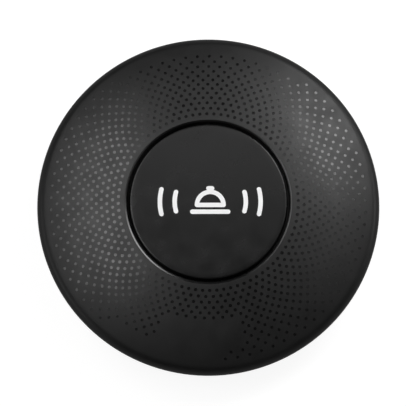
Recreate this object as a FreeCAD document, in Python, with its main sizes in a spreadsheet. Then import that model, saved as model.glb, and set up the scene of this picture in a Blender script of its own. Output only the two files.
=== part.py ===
import FreeCAD
import Part
import Sketcher
import math
import os
import re
from FreeCAD import Vector

# A wireless waiter call button for a counter: a low round dome with one large press button,
# a splash-proof membrane under it, a switch board, a coin cell and a quarter-turn battery door.
# Z is up, the underside of the feet is z = 0, the front of the device looks along -Y. Sizes in mm.

document = FreeCAD.newDocument("CallButton")
sizes = document.addObject("Spreadsheet::Sheet", "Sizes")
places = document.addObject("App::VarSet", "Places")
bodies = {}
wound_parts = {}


# Driving sizes

DRIVING_SIZES = [
    ("body_radius", 40.0, "widest radius of the housing"),
    ("skirt_height", 2.3, "parting line up to the widest line"),
    ("skirt_radius", 2.95, "arc of the skirt"),
    ("rim_inset", 1.8, "widest line in to the start of the dome"),
    ("rim_radius", 2.57, "arc of the rim"),
    ("dome_radius", 128.0, "arc of the dome"),
    ("shell_wall", 2.0, "wall of the top cover"),
    ("lip_bevel", 0.4, "bevel of the button opening"),
    ("button_radius", 18.3, "visible radius of the button"),
    ("button_gap", 0.8, "gap around the button"),
    ("button_crown", 0.2, "rise of the button from edge to middle"),
    ("button_bevel", 0.3, "bevel of the button edge"),
    ("button_proud", 0.3, "button edge above the opening"),
    ("button_skin", 1.8, "thickness of the button top"),
    ("button_wall", 1.8, "side wall of the button"),
    ("flange_reach", 2.4, "flange beyond the button side"),
    ("flange_thickness", 1.0, "thickness of the flange"),
    ("flange_sink", 0.4, "flange below the end of the centre post"),
    ("flange_play", 0.15, "flange below the shoulder at rest"),
    ("travel", 1.0, "stroke of the button"),
    ("hub_height", 2.1, "centre post below the button top"),
    ("hub_radius", 8.3, "outer ring of the centre post"),
    ("rib_width", 1.0, "ribs under the button"),
    ("key_width", 2.0, "ribs that keep the button from turning"),
    ("key_reach", 0.7, "how deep these ribs enter the flange"),
    ("key_play", 0.25, "play around them"),
    ("ring_play", 1.2, "clamp ring clear of the flange"),
    ("ring_wall", 2.5, "wall of the clamp ring"),
    ("press_margin", 0.2, "pressed flange above the clamp level"),
    ("web_thickness", 0.5, "thin outer part of the membrane"),
    ("web_knee_radius", 14.0, "where the thin part starts to rise"),
    ("disc_radius", 8.6, "thick middle of the membrane"),
    ("disc_thickness", 0.8, "its thickness"),
    ("frame_rim", 0.7, "raised ring of the clamp frame"),
    ("rim_reach", 0.7, "clearance of that ring around the spring"),
    ("frame_thickness", 0.7, "floor of the clamp frame"),
    ("ear_reach", 2.4, "screw ears beyond the clamp ring"),
    ("ear_radius", 2.2, "rounding of an ear"),
    ("spring_base_radius", 9.4, "lowest turn, middle of the wire"),
    ("spring_top_radius", 6.6, "highest turn, middle of the wire"),
    ("spring_wire_radius", 0.22, "half the wire of the return spring"),
    ("small_head_radius", 1.8, "heads of the frame and board screws"),
    ("small_head_height", 0.8, "height of these heads"),
    ("small_shank_radius", 0.9, "shanks of these screws"),
    ("frame_screw_length", 3.6, "shank of a frame screw"),
    ("board_screw_length", 4.2, "shank of a board screw"),
    ("board_screw_inset", 3.2, "board edge to its screws"),
    ("board_thickness", 1.6, "circuit board"),
    ("standoff_radius", 2.0, "posts below the board"),
    ("switch_size", 6.0, "side of the switch"),
    ("switch_height", 3.5, "switch without its plunger"),
    ("switch_plate", 0.3, "metal cover of the switch"),
    ("switch_flap", 1.5, "folded sides of that cover"),
    ("switch_travel", 0.3, "stroke of the switch"),
    ("plunger_radius", 1.7, "plunger of the switch"),
    ("plunger_proud", 0.8, "plunger above the switch"),
    ("pre_travel", 0.7, "membrane above the plunger"),
    ("lead_width", 0.8, "solder lead of the switch"),
    ("lead_thickness", 0.2, "sheet of the lead"),
    ("lead_reach", 1.2, "how far a lead stands out"),
    ("chip_size", 4.0, "side of the radio chip"),
    ("chip_height", 0.9, "height of the radio chip"),
    ("crystal_length", 3.2, "crystal can, long side"),
    ("crystal_width", 2.5, "crystal can, short side"),
    ("crystal_height", 0.8, "crystal can, height"),
    ("part_length", 1.6, "small chip parts, long side"),
    ("part_width", 0.8, "small chip parts, short side"),
    ("part_height", 0.6, "small chip parts, height"),
    ("aerial_wire_radius", 0.35, "half the wire of the aerial"),
    ("aerial_lift", 0.45, "aerial above the board"),
    ("aerial_gap", 2.0, "aerial to the screw heads"),
    ("contact_height", 1.0, "cell to board"),
    ("contact_sheet", 0.2, "sheet of the contacts"),
    ("contact_width", 4.0, "width of the contacts"),
    ("cell_radius", 10.0, "coin cell"),
    ("cell_height", 3.2, "coin cell"),
    ("cell_wall", 0.3, "sheet of the cell"),
    ("cell_seal", 0.65, "sealing ring of the cell"),
    ("cell_lift", 0.2, "cell above the floor"),
    ("base_thickness", 2.2, "plate of the bottom cover"),
    ("base_taper", 3.0, "flare of the bottom cover"),
    ("base_bevel", 0.8, "bevel of the lower edge"),
    ("base_wall", 2.1, "wall of the bottom cover"),
    ("joint_inset", 2.4, "widest line in to the joint of the covers"),
    ("joint_depth", 1.8, "tongue inside the top cover"),
    ("joint_play", 0.1, "tongue to top cover"),
    ("tongue_wall", 1.2, "wall of the tongue"),
    ("seal_height", 0.3, "seal between the covers"),
    ("seal_width", 0.7, "width of that seal"),
    ("post_radius", 2.3, "screw posts and bosses"),
    ("case_head_radius", 2.0, "head of a case screw"),
    ("case_head_height", 1.2, "height of that head"),
    ("case_head_sink", 0.3, "head below the underside"),
    ("case_shank_radius", 1.2, "shank of a case screw"),
    ("screw_bite", 3.5, "case screw inside its boss"),
    ("thread_play", 0.05, "shank to hole"),
    ("door_play", 0.2, "door to bottom cover"),
    ("door_cup_play", 0.4, "cell to cup"),
    ("door_cup_wall", 1.2, "wall of the cup"),
    ("door_rim", 3.4, "rim of the door beyond the cup"),
    ("door_sink", 0.1, "door below the underside"),
    ("door_floor_play", 0.05, "cell to door floor"),
    ("door_tab_reach", 1.3, "bayonet tab beyond the cup"),
    ("door_tab_height", 0.85, "bayonet tab"),
    ("door_tab_play", 0.05, "tab to ledge"),
    ("ledge_thickness", 1.1, "ledge that the tabs grip"),
    ("slot_length", 12.0, "coin slot"),
    ("slot_width", 1.8, "coin slot"),
    ("slot_depth", 1.1, "coin slot"),
    ("door_seal_height", 0.4, "flat seal on the rim of the door"),
    ("door_seal_inset", 0.3, "door edge to its seal"),
    ("door_seal_width", 1.3, "width of that seal"),
    ("bay_play", 0.5, "tab to bay wall"),
    ("bay_wall", 1.5, "wall of the battery bay"),
    ("bay_rib_width", 1.2, "ribs that hold the cell"),
    ("foot_radius", 4.0, "rubber foot"),
    ("foot_height", 1.0, "rubber foot below the base"),
    ("foot_sink", 0.6, "rubber foot inside the base"),
    ("foot_inset", 3.4, "base edge to foot"),
]

SCREW_COUNT = 4
FOOT_COUNT = 4
EAR_COUNT = 3
KEY_COUNT = 3
RIB_COUNT = 6
LEAD_SIDE_COUNT = 2
SPRING_TURN_COUNT = 3
WIRE_SIDE_COUNT = 6
EAR_ANGLE = 15.0
KEY_ANGLE = 90.0
AERIAL_START_ANGLE = 20.0
BAYONET_ANGLE = -40.0
TAB_HALF_ANGLE = 12.0
ENTRY_HALF_ANGLE = 14.0
AERIAL_SWEEP_ANGLE = 140.0


def fill_sizes():
    for row, (name, value, note) in enumerate(DRIVING_SIZES, start=1):
        sheet_row = str(row)
        sizes.set("A" + sheet_row, name)
        sizes.set("B" + sheet_row, str(value))
        sizes.setAlias("B" + sheet_row, name)
        sizes.set("C" + sheet_row, note)
    document.recompute()


# Levels and radii that follow from the driving sizes

DERIVED_PLACES = [
    ("base_level", "Sizes.foot_height"),
    ("floor_level", "base_level + Sizes.base_thickness"),
    ("cell_level", "floor_level + Sizes.cell_lift"),
    ("board_level", "cell_level + Sizes.cell_height + Sizes.contact_height"),
    ("board_top", "board_level + Sizes.board_thickness"),
    ("switch_top", "board_top + Sizes.switch_height"),
    ("disc_level", "switch_top + Sizes.plunger_proud + Sizes.pre_travel"),
    ("hub_level", "disc_level + Sizes.disc_thickness"),
    ("lip_level", "hub_level + Sizes.hub_height + Sizes.button_skin - Sizes.button_proud"),
    ("opening_radius", "Sizes.button_radius + Sizes.button_gap"),
    ("dome_start", "Sizes.body_radius - Sizes.rim_inset"),
    ("dome_depth", "sqrt(Sizes.dome_radius ^ 2 - opening_radius ^ 2)"),
    ("dome_rise", "dome_depth - sqrt(Sizes.dome_radius ^ 2 - dome_start ^ 2)"),
    ("rim_centre", "Sizes.body_radius - Sizes.rim_radius"),
    ("rim_height", "sqrt(2 * Sizes.rim_radius * Sizes.rim_inset - Sizes.rim_inset ^ 2)"),
    ("skirt_centre", "Sizes.body_radius - Sizes.skirt_radius"),
    ("rim_top_level", "lip_level - dome_rise"),
    ("parting_level", "rim_top_level - rim_height - Sizes.skirt_height"),
    ("flange_level", "hub_level - Sizes.flange_sink"),
    ("shoulder_level", "flange_level + Sizes.flange_thickness + Sizes.flange_play"),
    ("clamp_level", "flange_level - Sizes.travel - Sizes.press_margin"),
    ("web_level", "clamp_level - Sizes.web_thickness"),
    ("frame_level", "web_level - Sizes.frame_rim - Sizes.frame_thickness"),
    ("seat_level", "frame_level + Sizes.frame_thickness"),
    ("seal_level", "parting_level - Sizes.seal_height"),
    ("post_level", "parting_level + Sizes.seal_height"),
    ("flange_radius", "Sizes.button_radius + Sizes.flange_reach"),
    ("ring_inner", "flange_radius + Sizes.ring_play"),
    ("ring_outer", "ring_inner + Sizes.ring_wall"),
    ("ear_circle", "ring_outer + Sizes.ear_reach"),
    ("board_radius", "ear_circle - Sizes.small_head_radius - 0.3 * Sizes.standoff_radius"),
    ("board_screw_circle", "board_radius - Sizes.board_screw_inset"),
    ("aerial_radius", "board_screw_circle - Sizes.small_head_radius - Sizes.aerial_gap"),
    ("joint_radius", "Sizes.body_radius - Sizes.joint_inset"),
    ("tongue_radius", "joint_radius - Sizes.joint_play"),
    ("tongue_inner", "tongue_radius - Sizes.tongue_wall"),
    ("post_circle", "(ring_outer + tongue_inner) / 2"),
    ("parting_radius", "skirt_centre + sqrt(Sizes.skirt_radius ^ 2 - Sizes.skirt_height ^ 2)"),
    ("base_radius", "parting_radius - Sizes.base_taper"),
    ("foot_circle", "base_radius - Sizes.foot_inset - Sizes.foot_radius"),
    ("cup_radius", "Sizes.cell_radius + Sizes.door_cup_play + Sizes.door_cup_wall"),
    ("door_radius", "cup_radius + Sizes.door_rim"),
    ("bore_radius", "cup_radius + Sizes.door_play"),
    ("tab_radius", "cup_radius + Sizes.door_tab_reach"),
    ("bay_radius", "tab_radius + Sizes.bay_play"),
    ("ring_root", "sqrt(Sizes.dome_radius ^ 2 - ring_outer ^ 2) - dome_depth - Sizes.shell_wall"),
]


def fill_places():
    known = []
    for name, formula in DERIVED_PLACES:
        places.addProperty("App::PropertyFloat", name, "Places")
        places.setExpression(name, with_owner(formula, known))
        known.append(name)
    document.recompute()


def with_owner(formula, known):
    # Writes Places. before each earlier place that the formula names.
    words = re.split(r"([A-Za-z_.]+)", formula)
    return "".join("Places." + word if word in known else word for word in words)


def value_of(formula):
    return float(sizes.evalExpression(formula))


# Helpers for bodies, sketches and features

def new_body(label, level="0"):
    body = document.addObject("PartDesign::Body", label)
    body.Label = label
    body.setExpression("Placement.Base.z", level)
    bodies[label] = body
    return body


def origin_part(body, role):
    for feature in body.Origin.OriginFeatures:
        if feature.Role == role:
            return feature
    raise RuntimeError("no origin part " + role)


def new_sketch(body, name, role="XZ_Plane", lift=None):
    sketch = body.newObject("Sketcher::SketchObject", name)
    sketch.AttachmentSupport = (origin_part(body, role), [""])
    sketch.MapMode = "FlatFace"
    if lift is not None:
        sketch.setExpression("AttachmentOffset.Base.z", lift)
    return sketch


def pin_point(sketch, geometry, vertex, x_formula, y_formula):
    for kind, axis, formula in (("DistanceX", -2, x_formula), ("DistanceY", -1, y_formula)):
        number = value_of(formula)
        if abs(number) < 1e-9:
            sketch.addConstraint(Sketcher.Constraint("PointOnObject", geometry, vertex, axis))
        else:
            bound = sketch.addConstraint(
                Sketcher.Constraint(kind, -1, 1, geometry, vertex, number))
            sketch.setExpression("Constraints[" + str(bound) + "]", formula)


def arc_through(start, end, radius, bulge):
    chord = end - start
    half = chord.Length / 2
    sagitta = radius - math.sqrt(max(radius * radius - half * half, 0.0))
    sideways = Vector(-chord.y, chord.x, 0)
    sideways.normalize()
    middle = start + chord * 0.5 + sideways * (sagitta * bulge)
    return Part.Arc(start, middle, end)


def outline(body, name, corners, role="XZ_Plane", lift=None):
    # Each corner is (x, y); with (x, y, radius, bulge) an arc leads to the next corner,
    # bulging to the left of the way there for +1 and to the right for -1.
    sketch = new_sketch(body, name, role, lift)
    spots = [Vector(value_of(corner[0]), value_of(corner[1]), 0) for corner in corners]
    for spot in spots:
        sketch.addGeometry(Part.Point(spot), True)
    for index, corner in enumerate(corners):
        pin_point(sketch, index, 1, corner[0], corner[1])
    for index, corner in enumerate(corners):
        following = (index + 1) % len(corners)
        start = spots[index]
        end = spots[following]
        if len(corner) == 4:
            curve = arc_through(start, end, value_of(corner[2]), corner[3])
            edge = sketch.addGeometry(curve, False)
            bound = sketch.addConstraint(
                Sketcher.Constraint("Radius", edge, value_of(corner[2])))
            sketch.setExpression("Constraints[" + str(bound) + "]", corner[2])
        else:
            edge = sketch.addGeometry(Part.LineSegment(start, end), False)
        first_is_start = (sketch.getPoint(edge, 1) - start).Length < (
            sketch.getPoint(edge, 2) - start).Length
        first, second = (1, 2) if first_is_start else (2, 1)
        sketch.addConstraint(Sketcher.Constraint("Coincident", edge, first, index, 1))
        sketch.addConstraint(Sketcher.Constraint("Coincident", edge, second, following, 1))
    return sketch


def disc(body, name, x_formula, y_formula, radius_formula, role="XY_Plane", lift=None):
    sketch = new_sketch(body, name, role, lift)
    centre = Vector(value_of(x_formula), value_of(y_formula), 0)
    edge = sketch.addGeometry(
        Part.Circle(centre, Vector(0, 0, 1), value_of(radius_formula)), False)
    pin_point(sketch, edge, 3, x_formula, y_formula)
    bound = sketch.addConstraint(Sketcher.Constraint("Radius", edge, value_of(radius_formula)))
    sketch.setExpression("Constraints[" + str(bound) + "]", radius_formula)
    return sketch


def box_outline(body, name, x_low, x_high, y_low, y_high, role="XY_Plane", lift=None):
    corners = [(x_low, y_low), (x_high, y_low), (x_high, y_high), (x_low, y_high)]
    return outline(body, name, corners, role, lift)


def revolve(body, name, sketch, angle=360.0):
    feature = body.newObject("PartDesign::Revolution", name)
    feature.Profile = sketch
    feature.ReferenceAxis = (sketch, ["V_Axis"])
    feature.Angle = angle
    document.recompute()
    return feature


def groove(body, name, sketch):
    feature = body.newObject("PartDesign::Groove", name)
    feature.Profile = sketch
    feature.ReferenceAxis = (sketch, ["V_Axis"])
    feature.Angle = 360.0
    document.recompute()
    return feature


def pad(body, name, sketch, length=None, down=False, both_ways=False):
    feature = body.newObject("PartDesign::Pad", name)
    feature.Profile = sketch
    feature.Reversed = down
    if both_ways:
        feature.SideType = "Symmetric"
    if length is None:
        feature.Type = "UpToFirst"
    else:
        feature.setExpression("Length", length)
    document.recompute()
    return feature


def pocket(body, name, sketch, depth, up=True):
    before = body.Shape.Volume
    feature = body.newObject("PartDesign::Pocket", name)
    feature.Profile = sketch
    feature.Reversed = up
    feature.setExpression("Length", depth)
    document.recompute()
    if not feature.Shape.Volume < before - 1e-6:
        raise RuntimeError(name + " cuts nothing")
    return feature


def around(body, name, features, count=SCREW_COUNT):
    pattern = body.newObject("PartDesign::PolarPattern", name)
    pattern.Originals = features
    pattern.Axis = (origin_part(body, "Z_Axis"), [""])
    pattern.Angle = 360.0
    pattern.Occurrences = count
    body.Tip = pattern
    document.recompute()
    return pattern


def bevel_edge(body, name, base, size, radius, height):
    names = []
    for number, edge in enumerate(base.Shape.Edges, start=1):
        if not edge.Degenerated and on_circle(edge, radius, height):
            names.append("Edge" + str(number))
    if not names:
        raise RuntimeError(name + " finds no edge")
    feature = body.newObject("PartDesign::Chamfer", name)
    feature.Base = (base, names)
    feature.setExpression("Size", size)
    document.recompute()
    return feature


def on_circle(edge, radius, height):
    if not hasattr(edge.Curve, "Radius"):
        return False
    same_radius = abs(edge.Curve.Radius - radius) < 1e-4
    return same_radius and abs(edge.BoundBox.ZMin - height) < 1e-4 and edge.BoundBox.ZLength < 1e-4


def round_corners(centre_x, centre_y, radius, heights):
    # Corners on a circle, each at a given height above the circle's centre.
    corners = []
    for height in heights:
        across = "sqrt((" + radius + ") ^ 2 - (" + height + ") ^ 2)"
        corners.append((centre_x + " + " + across, centre_y + " + " + height))
    return corners


def turned(radius_formula, degrees):
    # Point on a circle as two formulas; the angle is in degrees from +X.
    angle = math.radians(degrees)
    across = "(" + radius_formula + ") * " + format(math.cos(angle), ".9f")
    along = "(" + radius_formula + ") * " + format(math.sin(angle), ".9f")
    return across, along


def turned_box(body, name, near, far, width, degrees, lift=None):
    # Rectangle from the near to the far radius, turned about Z.
    angle = math.radians(degrees)
    cosine = format(math.cos(angle), ".9f")
    sine = format(math.sin(angle), ".9f")
    corners = []
    for reach, side in ((near, "-"), (far, "-"), (far, ""), (near, "")):
        half = side + "0.5 * (" + width + ")"
        corners.append((
            "(" + reach + ") * " + cosine + " - (" + half + ") * " + sine,
            "(" + reach + ") * " + sine + " + (" + half + ") * " + cosine))
    return outline(body, name, corners, "XY_Plane", lift)


def ring_sector(body, name, near, far, middle, half_angle, lift):
    # Piece of a ring between two radii and two angles, in degrees.
    low = middle - half_angle
    high = middle + half_angle
    corners = [
        turned(near, low),
        turned(far, low) + (far, -1),
        turned(far, high),
        turned(near, high) + (near, 1),
    ]
    return outline(body, name, corners, "XY_Plane", lift)


# Housing

def cover_outline(lip):
    # From the opening over the dome, the rim and the skirt down to the parting line.
    dome_middle = "0.5 * (Places.opening_radius + Places.dome_start)"
    dome_fall = " - Places.dome_depth + sqrt(Sizes.dome_radius ^ 2 - (" + dome_middle + ") ^ 2)"
    rim_heights = [share + " * Places.rim_height" for share in ("1", "0.8", "0.45", "0")]
    skirt_heights = [share + " * Sizes.skirt_height" for share in ("-0.6", "-1")]
    corners = [("Places.opening_radius", lip), (dome_middle, lip + dome_fall)]
    corners += round_corners("Places.rim_centre", "Sizes.skirt_height", "Sizes.rim_radius",
                             rim_heights)
    corners += round_corners("Places.skirt_centre", "Sizes.skirt_height", "Sizes.skirt_radius",
                             skirt_heights)
    return corners


def top_cover():
    body = new_body("top_cover", "Places.parting_level")
    lip = "Places.lip_level - Places.parting_level"
    rim_top = "Places.rim_top_level - Places.parting_level"
    shoulder = "Places.shoulder_level - Places.parting_level"
    clamp = "Places.clamp_level - Places.parting_level"
    inside = [
        ("Places.joint_radius", "0"),
        ("Places.joint_radius", "Sizes.joint_depth"),
        ("Places.joint_radius - 0.35 * Sizes.shell_wall", rim_top + " - Sizes.shell_wall"),
        ("Places.ring_outer", lip + " + Places.ring_root"),
        ("Places.ring_outer", clamp),
        ("Places.ring_inner", clamp),
        ("Places.ring_inner", shoulder),
        ("Places.opening_radius", shoulder),
    ]
    shell = revolve(body, "CoverShell", outline(
        body, "CoverSection", cover_outline(lip) + inside))
    bevel_edge(body, "LipBevel", shell, "Sizes.lip_bevel",
               value_of("Places.opening_radius"), value_of(lip))
    boss_start = "Places.post_level - Places.parting_level"
    boss = pad(body, "CaseBoss", disc(
        body, "CaseBossSketch", "Places.post_circle", "0", "Sizes.post_radius", lift=boss_start))
    bore = pocket(body, "CaseBossBore", disc(
        body, "CaseBossBoreSketch", "Places.post_circle", "0",
        "Sizes.case_shank_radius + Sizes.thread_play", lift=boss_start),
        "Sizes.screw_bite + Sizes.thread_play")
    around(body, "CaseBosses", [boss, bore])
    across, along = turned("Places.ear_circle", EAR_ANGLE)
    ear_top = "Places.web_level - Places.parting_level"
    frame_boss = pad(body, "FrameBoss", disc(
        body, "FrameBossSketch", across, along, "Sizes.ear_radius", lift=ear_top))
    frame_bore = pocket(body, "FrameBossBore", disc(
        body, "FrameBossBoreSketch", across, along,
        "Sizes.small_shank_radius + Sizes.thread_play", lift=ear_top),
        "Sizes.frame_screw_length - Sizes.frame_rim - Sizes.frame_thickness + Sizes.thread_play")
    around(body, "FrameBosses", [frame_boss, frame_bore], EAR_COUNT)
    key = pad(body, "Key", turned_box(
        body, "KeySketch", "Places.flange_radius - Sizes.key_reach",
        "Places.ring_inner + 0.2 * Sizes.ring_wall", "Sizes.key_width", KEY_ANGLE,
        clamp + " + Sizes.press_margin"))
    around(body, "Keys", [key], KEY_COUNT)


def bottom_cover():
    body = new_body("bottom_cover", "Places.base_level")
    seal_seat = "Places.seal_level - Places.base_level"
    ledge = "Sizes.base_thickness - Sizes.ledge_thickness"
    recess = "Places.door_radius + Sizes.door_play"
    tongue_top = "Places.parting_level + Sizes.joint_depth - 2 * Sizes.joint_play - Places.base_level"
    plate = revolve(body, "BasePlate", outline(body, "BaseSection", [
        ("Places.bore_radius", ledge),
        (recess, ledge),
        (recess, "0"),
        ("Places.base_radius", "0"),
        ("Places.parting_radius - 2 * Sizes.joint_play", seal_seat),
        ("Places.tongue_radius", seal_seat),
        ("Places.tongue_radius", tongue_top),
        ("Places.tongue_inner", tongue_top),
        ("Places.tongue_inner", seal_seat + " - Sizes.tongue_wall"),
        ("Places.base_radius + 0.4 * Sizes.base_taper - Sizes.base_wall", "Sizes.base_thickness"),
        ("Places.bore_radius", "Sizes.base_thickness"),
    ]))
    bevel_edge(body, "BaseBevel", plate, "Sizes.base_bevel", value_of("Places.base_radius"), 0.0)
    floor = "Sizes.base_thickness"
    bay = outline(body, "BaySection", [
        ("Places.bay_radius", floor + " - 0.1 * Sizes.base_thickness"),
        ("Places.bay_radius + Sizes.bay_wall", floor + " - 0.1 * Sizes.base_thickness"),
        ("Places.bay_radius + Sizes.bay_wall", "Places.board_level - Places.base_level"),
        ("Places.bay_radius", "Places.board_level - Places.base_level"),
    ])
    revolve(body, "BatteryBay", bay)
    rib = pad(body, "BayRib", turned_box(
        body, "BayRibSketch", "Sizes.cell_radius + 0.5 * Sizes.door_cup_play",
        "Places.bay_radius + 0.5 * Sizes.bay_wall", "Sizes.bay_rib_width", 60,
        floor + " + 2 * Sizes.door_tab_height"), "Sizes.cell_height - 2 * Sizes.door_tab_height")
    around(body, "BayRibs", [rib], KEY_COUNT)
    entry = pocket(body, "TabEntry", ring_sector(
        body, "TabEntrySketch", "Places.bore_radius - Sizes.door_play",
        "Places.tab_radius + Sizes.door_play", BAYONET_ANGLE, ENTRY_HALF_ANGLE,
        "0.5 * (" + ledge + ")"), floor)
    around(body, "TabEntries", [entry], KEY_COUNT)
    stop_near = "Places.bore_radius + 0.5 * Sizes.door_play"
    stop_far = "Places.bay_radius + 0.5 * Sizes.bay_wall"
    closed_stop = pad(body, "ClosedStop", turned_box(
        body, "ClosedStopSketch", stop_near, stop_far, "Sizes.bay_rib_width",
        TAB_HALF_ANGLE + 4.0, floor), "Sizes.door_tab_height")
    open_stop = pad(body, "OpenStop", turned_box(
        body, "OpenStopSketch", stop_near, stop_far, "Sizes.bay_rib_width",
        BAYONET_ANGLE - TAB_HALF_ANGLE - 5.5, floor), "Sizes.door_tab_height")
    around(body, "TabStops", [closed_stop, open_stop], KEY_COUNT)
    across, along = turned("Places.board_screw_circle", EAR_ANGLE)
    standoff = pad(body, "Standoff", disc(
        body, "StandoffSketch", across, along, "Sizes.standoff_radius",
        lift=floor), "Places.board_level - Places.floor_level")
    standoff_bore = pocket(body, "StandoffBore", disc(
        body, "StandoffBoreSketch", across, along,
        "Sizes.small_shank_radius + Sizes.thread_play",
        lift="Places.board_level - Places.base_level"),
        "Sizes.board_screw_length - Sizes.board_thickness + Sizes.thread_play", up=False)
    around(body, "Standoffs", [standoff, standoff_bore], EAR_COUNT)
    post = pad(body, "CasePost", disc(
        body, "CasePostSketch", "Places.post_circle", "0", "Sizes.post_radius", lift=floor),
        "Places.post_level - Places.floor_level")
    passage = pocket(body, "CasePassage", disc(
        body, "CasePassageSketch", "Places.post_circle", "0",
        "Sizes.case_shank_radius + 4 * Sizes.thread_play"), "Places.post_level")
    head_sink = pocket(body, "HeadSink", disc(
        body, "HeadSinkSketch", "Places.post_circle", "0",
        "Sizes.case_head_radius + 4 * Sizes.thread_play"),
        "Sizes.case_head_height + Sizes.case_head_sink")
    around(body, "CasePosts", [post, passage, head_sink])
    across, along = turned("Places.foot_circle", 45)
    foot_sink = pocket(body, "FootSink", disc(
        body, "FootSinkSketch", across, along, "Sizes.foot_radius + Sizes.joint_play"),
        "Sizes.foot_sink")
    around(body, "FootSinks", [foot_sink], FOOT_COUNT)


def case_seal():
    body = new_body("case_seal", "Places.seal_level")
    inner = "Places.joint_radius + Sizes.joint_play"
    outer = inner + " + Sizes.seal_width"
    revolve(body, "SealRing", outline(body, "SealSection", [
        (inner, "0"),
        (outer, "0"),
        (outer, "Sizes.seal_height"),
        (inner, "Sizes.seal_height"),
    ]))


def rubber_feet():
    body = new_body("rubber_feet")
    across, along = turned("Places.foot_circle", 45)
    foot = pad(body, "Foot", disc(body, "FootSketch", across, along, "Sizes.foot_radius"),
               "Sizes.foot_height + Sizes.foot_sink")
    around(body, "Feet", [foot], FOOT_COUNT)


# Button, membrane and return spring

def button_cap():
    body = new_body("button_cap", "Places.flange_level")
    deck = "Sizes.flange_sink + Sizes.hub_height"
    edge_top = deck + " + Sizes.button_skin"
    inner = "Sizes.button_radius - Sizes.button_wall"
    cap = revolve(body, "CapBody", outline(body, "CapSection", [
        ("0", edge_top + " + Sizes.button_crown"),
        ("Sizes.button_radius", edge_top),
        ("Sizes.button_radius", "Sizes.flange_thickness"),
        ("Places.flange_radius", "Sizes.flange_thickness"),
        ("Places.flange_radius", "0"),
        (inner, "0"),
        (inner, deck),
        ("Sizes.hub_radius", deck),
        ("Sizes.hub_radius", "Sizes.flange_sink"),
        ("0", "Sizes.flange_sink"),
    ]))
    bevel_edge(body, "CapBevel", cap, "Sizes.button_bevel",
               value_of("Sizes.button_radius"), value_of(edge_top))
    rib = pad(body, "CapRib", box_outline(
        body, "CapRibSketch", "Sizes.hub_radius - Sizes.rib_width",
        inner + " + 0.5 * Sizes.button_wall", "-0.5 * Sizes.rib_width", "0.5 * Sizes.rib_width",
        lift=deck + " - 0.5 * Sizes.hub_height"), "0.6 * Sizes.hub_height")
    around(body, "CapRibs", [rib], RIB_COUNT)
    notch = pocket(body, "KeyNotch", turned_box(
        body, "KeyNotchSketch", "Places.flange_radius - Sizes.key_reach - Sizes.key_play",
        "Places.ring_inner", "Sizes.key_width + 2 * Sizes.key_play", KEY_ANGLE,
        "-Sizes.flange_thickness"), "3 * Sizes.flange_thickness")
    around(body, "KeyNotches", [notch], KEY_COUNT)


def key_diaphragm():
    body = new_body("key_diaphragm", "Places.web_level")
    disc_foot = "Places.disc_level - Places.web_level"
    disc_top = "Places.hub_level - Places.web_level"
    edge = "Places.ring_outer - Sizes.joint_play"
    revolve(body, "Membrane", outline(body, "MembraneSection", [
        ("0", disc_foot),
        ("Sizes.disc_radius", disc_foot),
        ("Sizes.web_knee_radius", "0"),
        (edge, "0"),
        (edge, "Sizes.web_thickness"),
        ("Sizes.web_knee_radius", "Sizes.web_thickness"),
        ("Sizes.disc_radius", disc_foot + " + Sizes.web_thickness"),
        ("Sizes.disc_radius", disc_top),
        ("0", disc_top),
    ]))


def clamp_frame():
    body = new_body("clamp_frame", "Places.frame_level")
    hole = "0.7071 * Sizes.switch_size + 1.5 * Sizes.frame_rim"
    ring = "Sizes.spring_base_radius + Sizes.spring_wire_radius + Sizes.rim_reach"
    rim_top = "Sizes.frame_thickness + Sizes.frame_rim"
    revolve(body, "FrameDish", outline(body, "FrameSection", [
        (hole, "0"),
        ("Places.ring_outer", "0"),
        ("Places.ring_outer", rim_top),
        (ring, rim_top),
        (ring, "Sizes.frame_thickness"),
        (hole, "Sizes.frame_thickness"),
    ]))
    across, along = turned("Places.ear_circle", EAR_ANGLE)
    ear = pad(body, "Ear", disc(
        body, "EarSketch", across, along, "Sizes.ear_radius"), rim_top)
    web = pad(body, "EarWeb", turned_box(
        body, "EarWebSketch", "Places.ring_outer - 0.5 * Sizes.ring_wall", "Places.ear_circle",
        "2 * Sizes.ear_radius", EAR_ANGLE), rim_top)
    hole_cut = pocket(body, "EarHole", disc(
        body, "EarHoleSketch", across, along, "Sizes.small_shank_radius + 2 * Sizes.thread_play"),
        rim_top + " + Sizes.frame_rim")
    around(body, "Ears", [ear, web, hole_cut], EAR_COUNT)


def biarc(start, start_way, end, end_way):
    # Two arcs in space that leave the start and reach the end along the given ways.
    span = end - start
    ways = start_way + end_way
    square = 2 * (start_way.dot(end_way) - 1)
    middle_term = -2 * span.dot(ways)
    constant = span.dot(span)
    if abs(square) < 1e-9:
        leg = -constant / middle_term
    else:
        root = math.sqrt(middle_term * middle_term - 4 * square * constant)
        leg = (-middle_term - root) / (2 * square)
    near = start + start_way * leg
    far = end - end_way * leg
    joint = (near + far) * 0.5
    return [bent_leg(start, near, joint), bent_leg(joint, far, end)]


def bent_leg(start, knee, end):
    middle = (start + end) * 0.5
    half = (end - start).Length / 2
    rise = (knee - middle).Length
    turn = math.atan2(rise, half)
    crest = middle + (knee - middle) * (half * math.tan(turn / 2) / rise)
    return Part.Arc(start, crest, end).toShape()


def coil_edges(base_radius, top_radius, height, turns):
    steps = 4 * turns
    sweep = 2 * math.pi * turns
    spots = []
    ways = []
    for step in range(steps + 1):
        share = step / steps
        angle = sweep * share
        radius = base_radius + (top_radius - base_radius) * share
        spots.append(Vector(radius * math.cos(angle), radius * math.sin(angle), height * share))
        way = Vector(-radius * sweep * math.sin(angle), radius * sweep * math.cos(angle), height)
        way += Vector(math.cos(angle), math.sin(angle), 0) * (top_radius - base_radius)
        way.normalize()
        ways.append(way)
    edges = []
    for step in range(steps):
        edges.extend(biarc(spots[step], ways[step], spots[step + 1], ways[step + 1]))
    return edges, ways[0]


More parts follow.
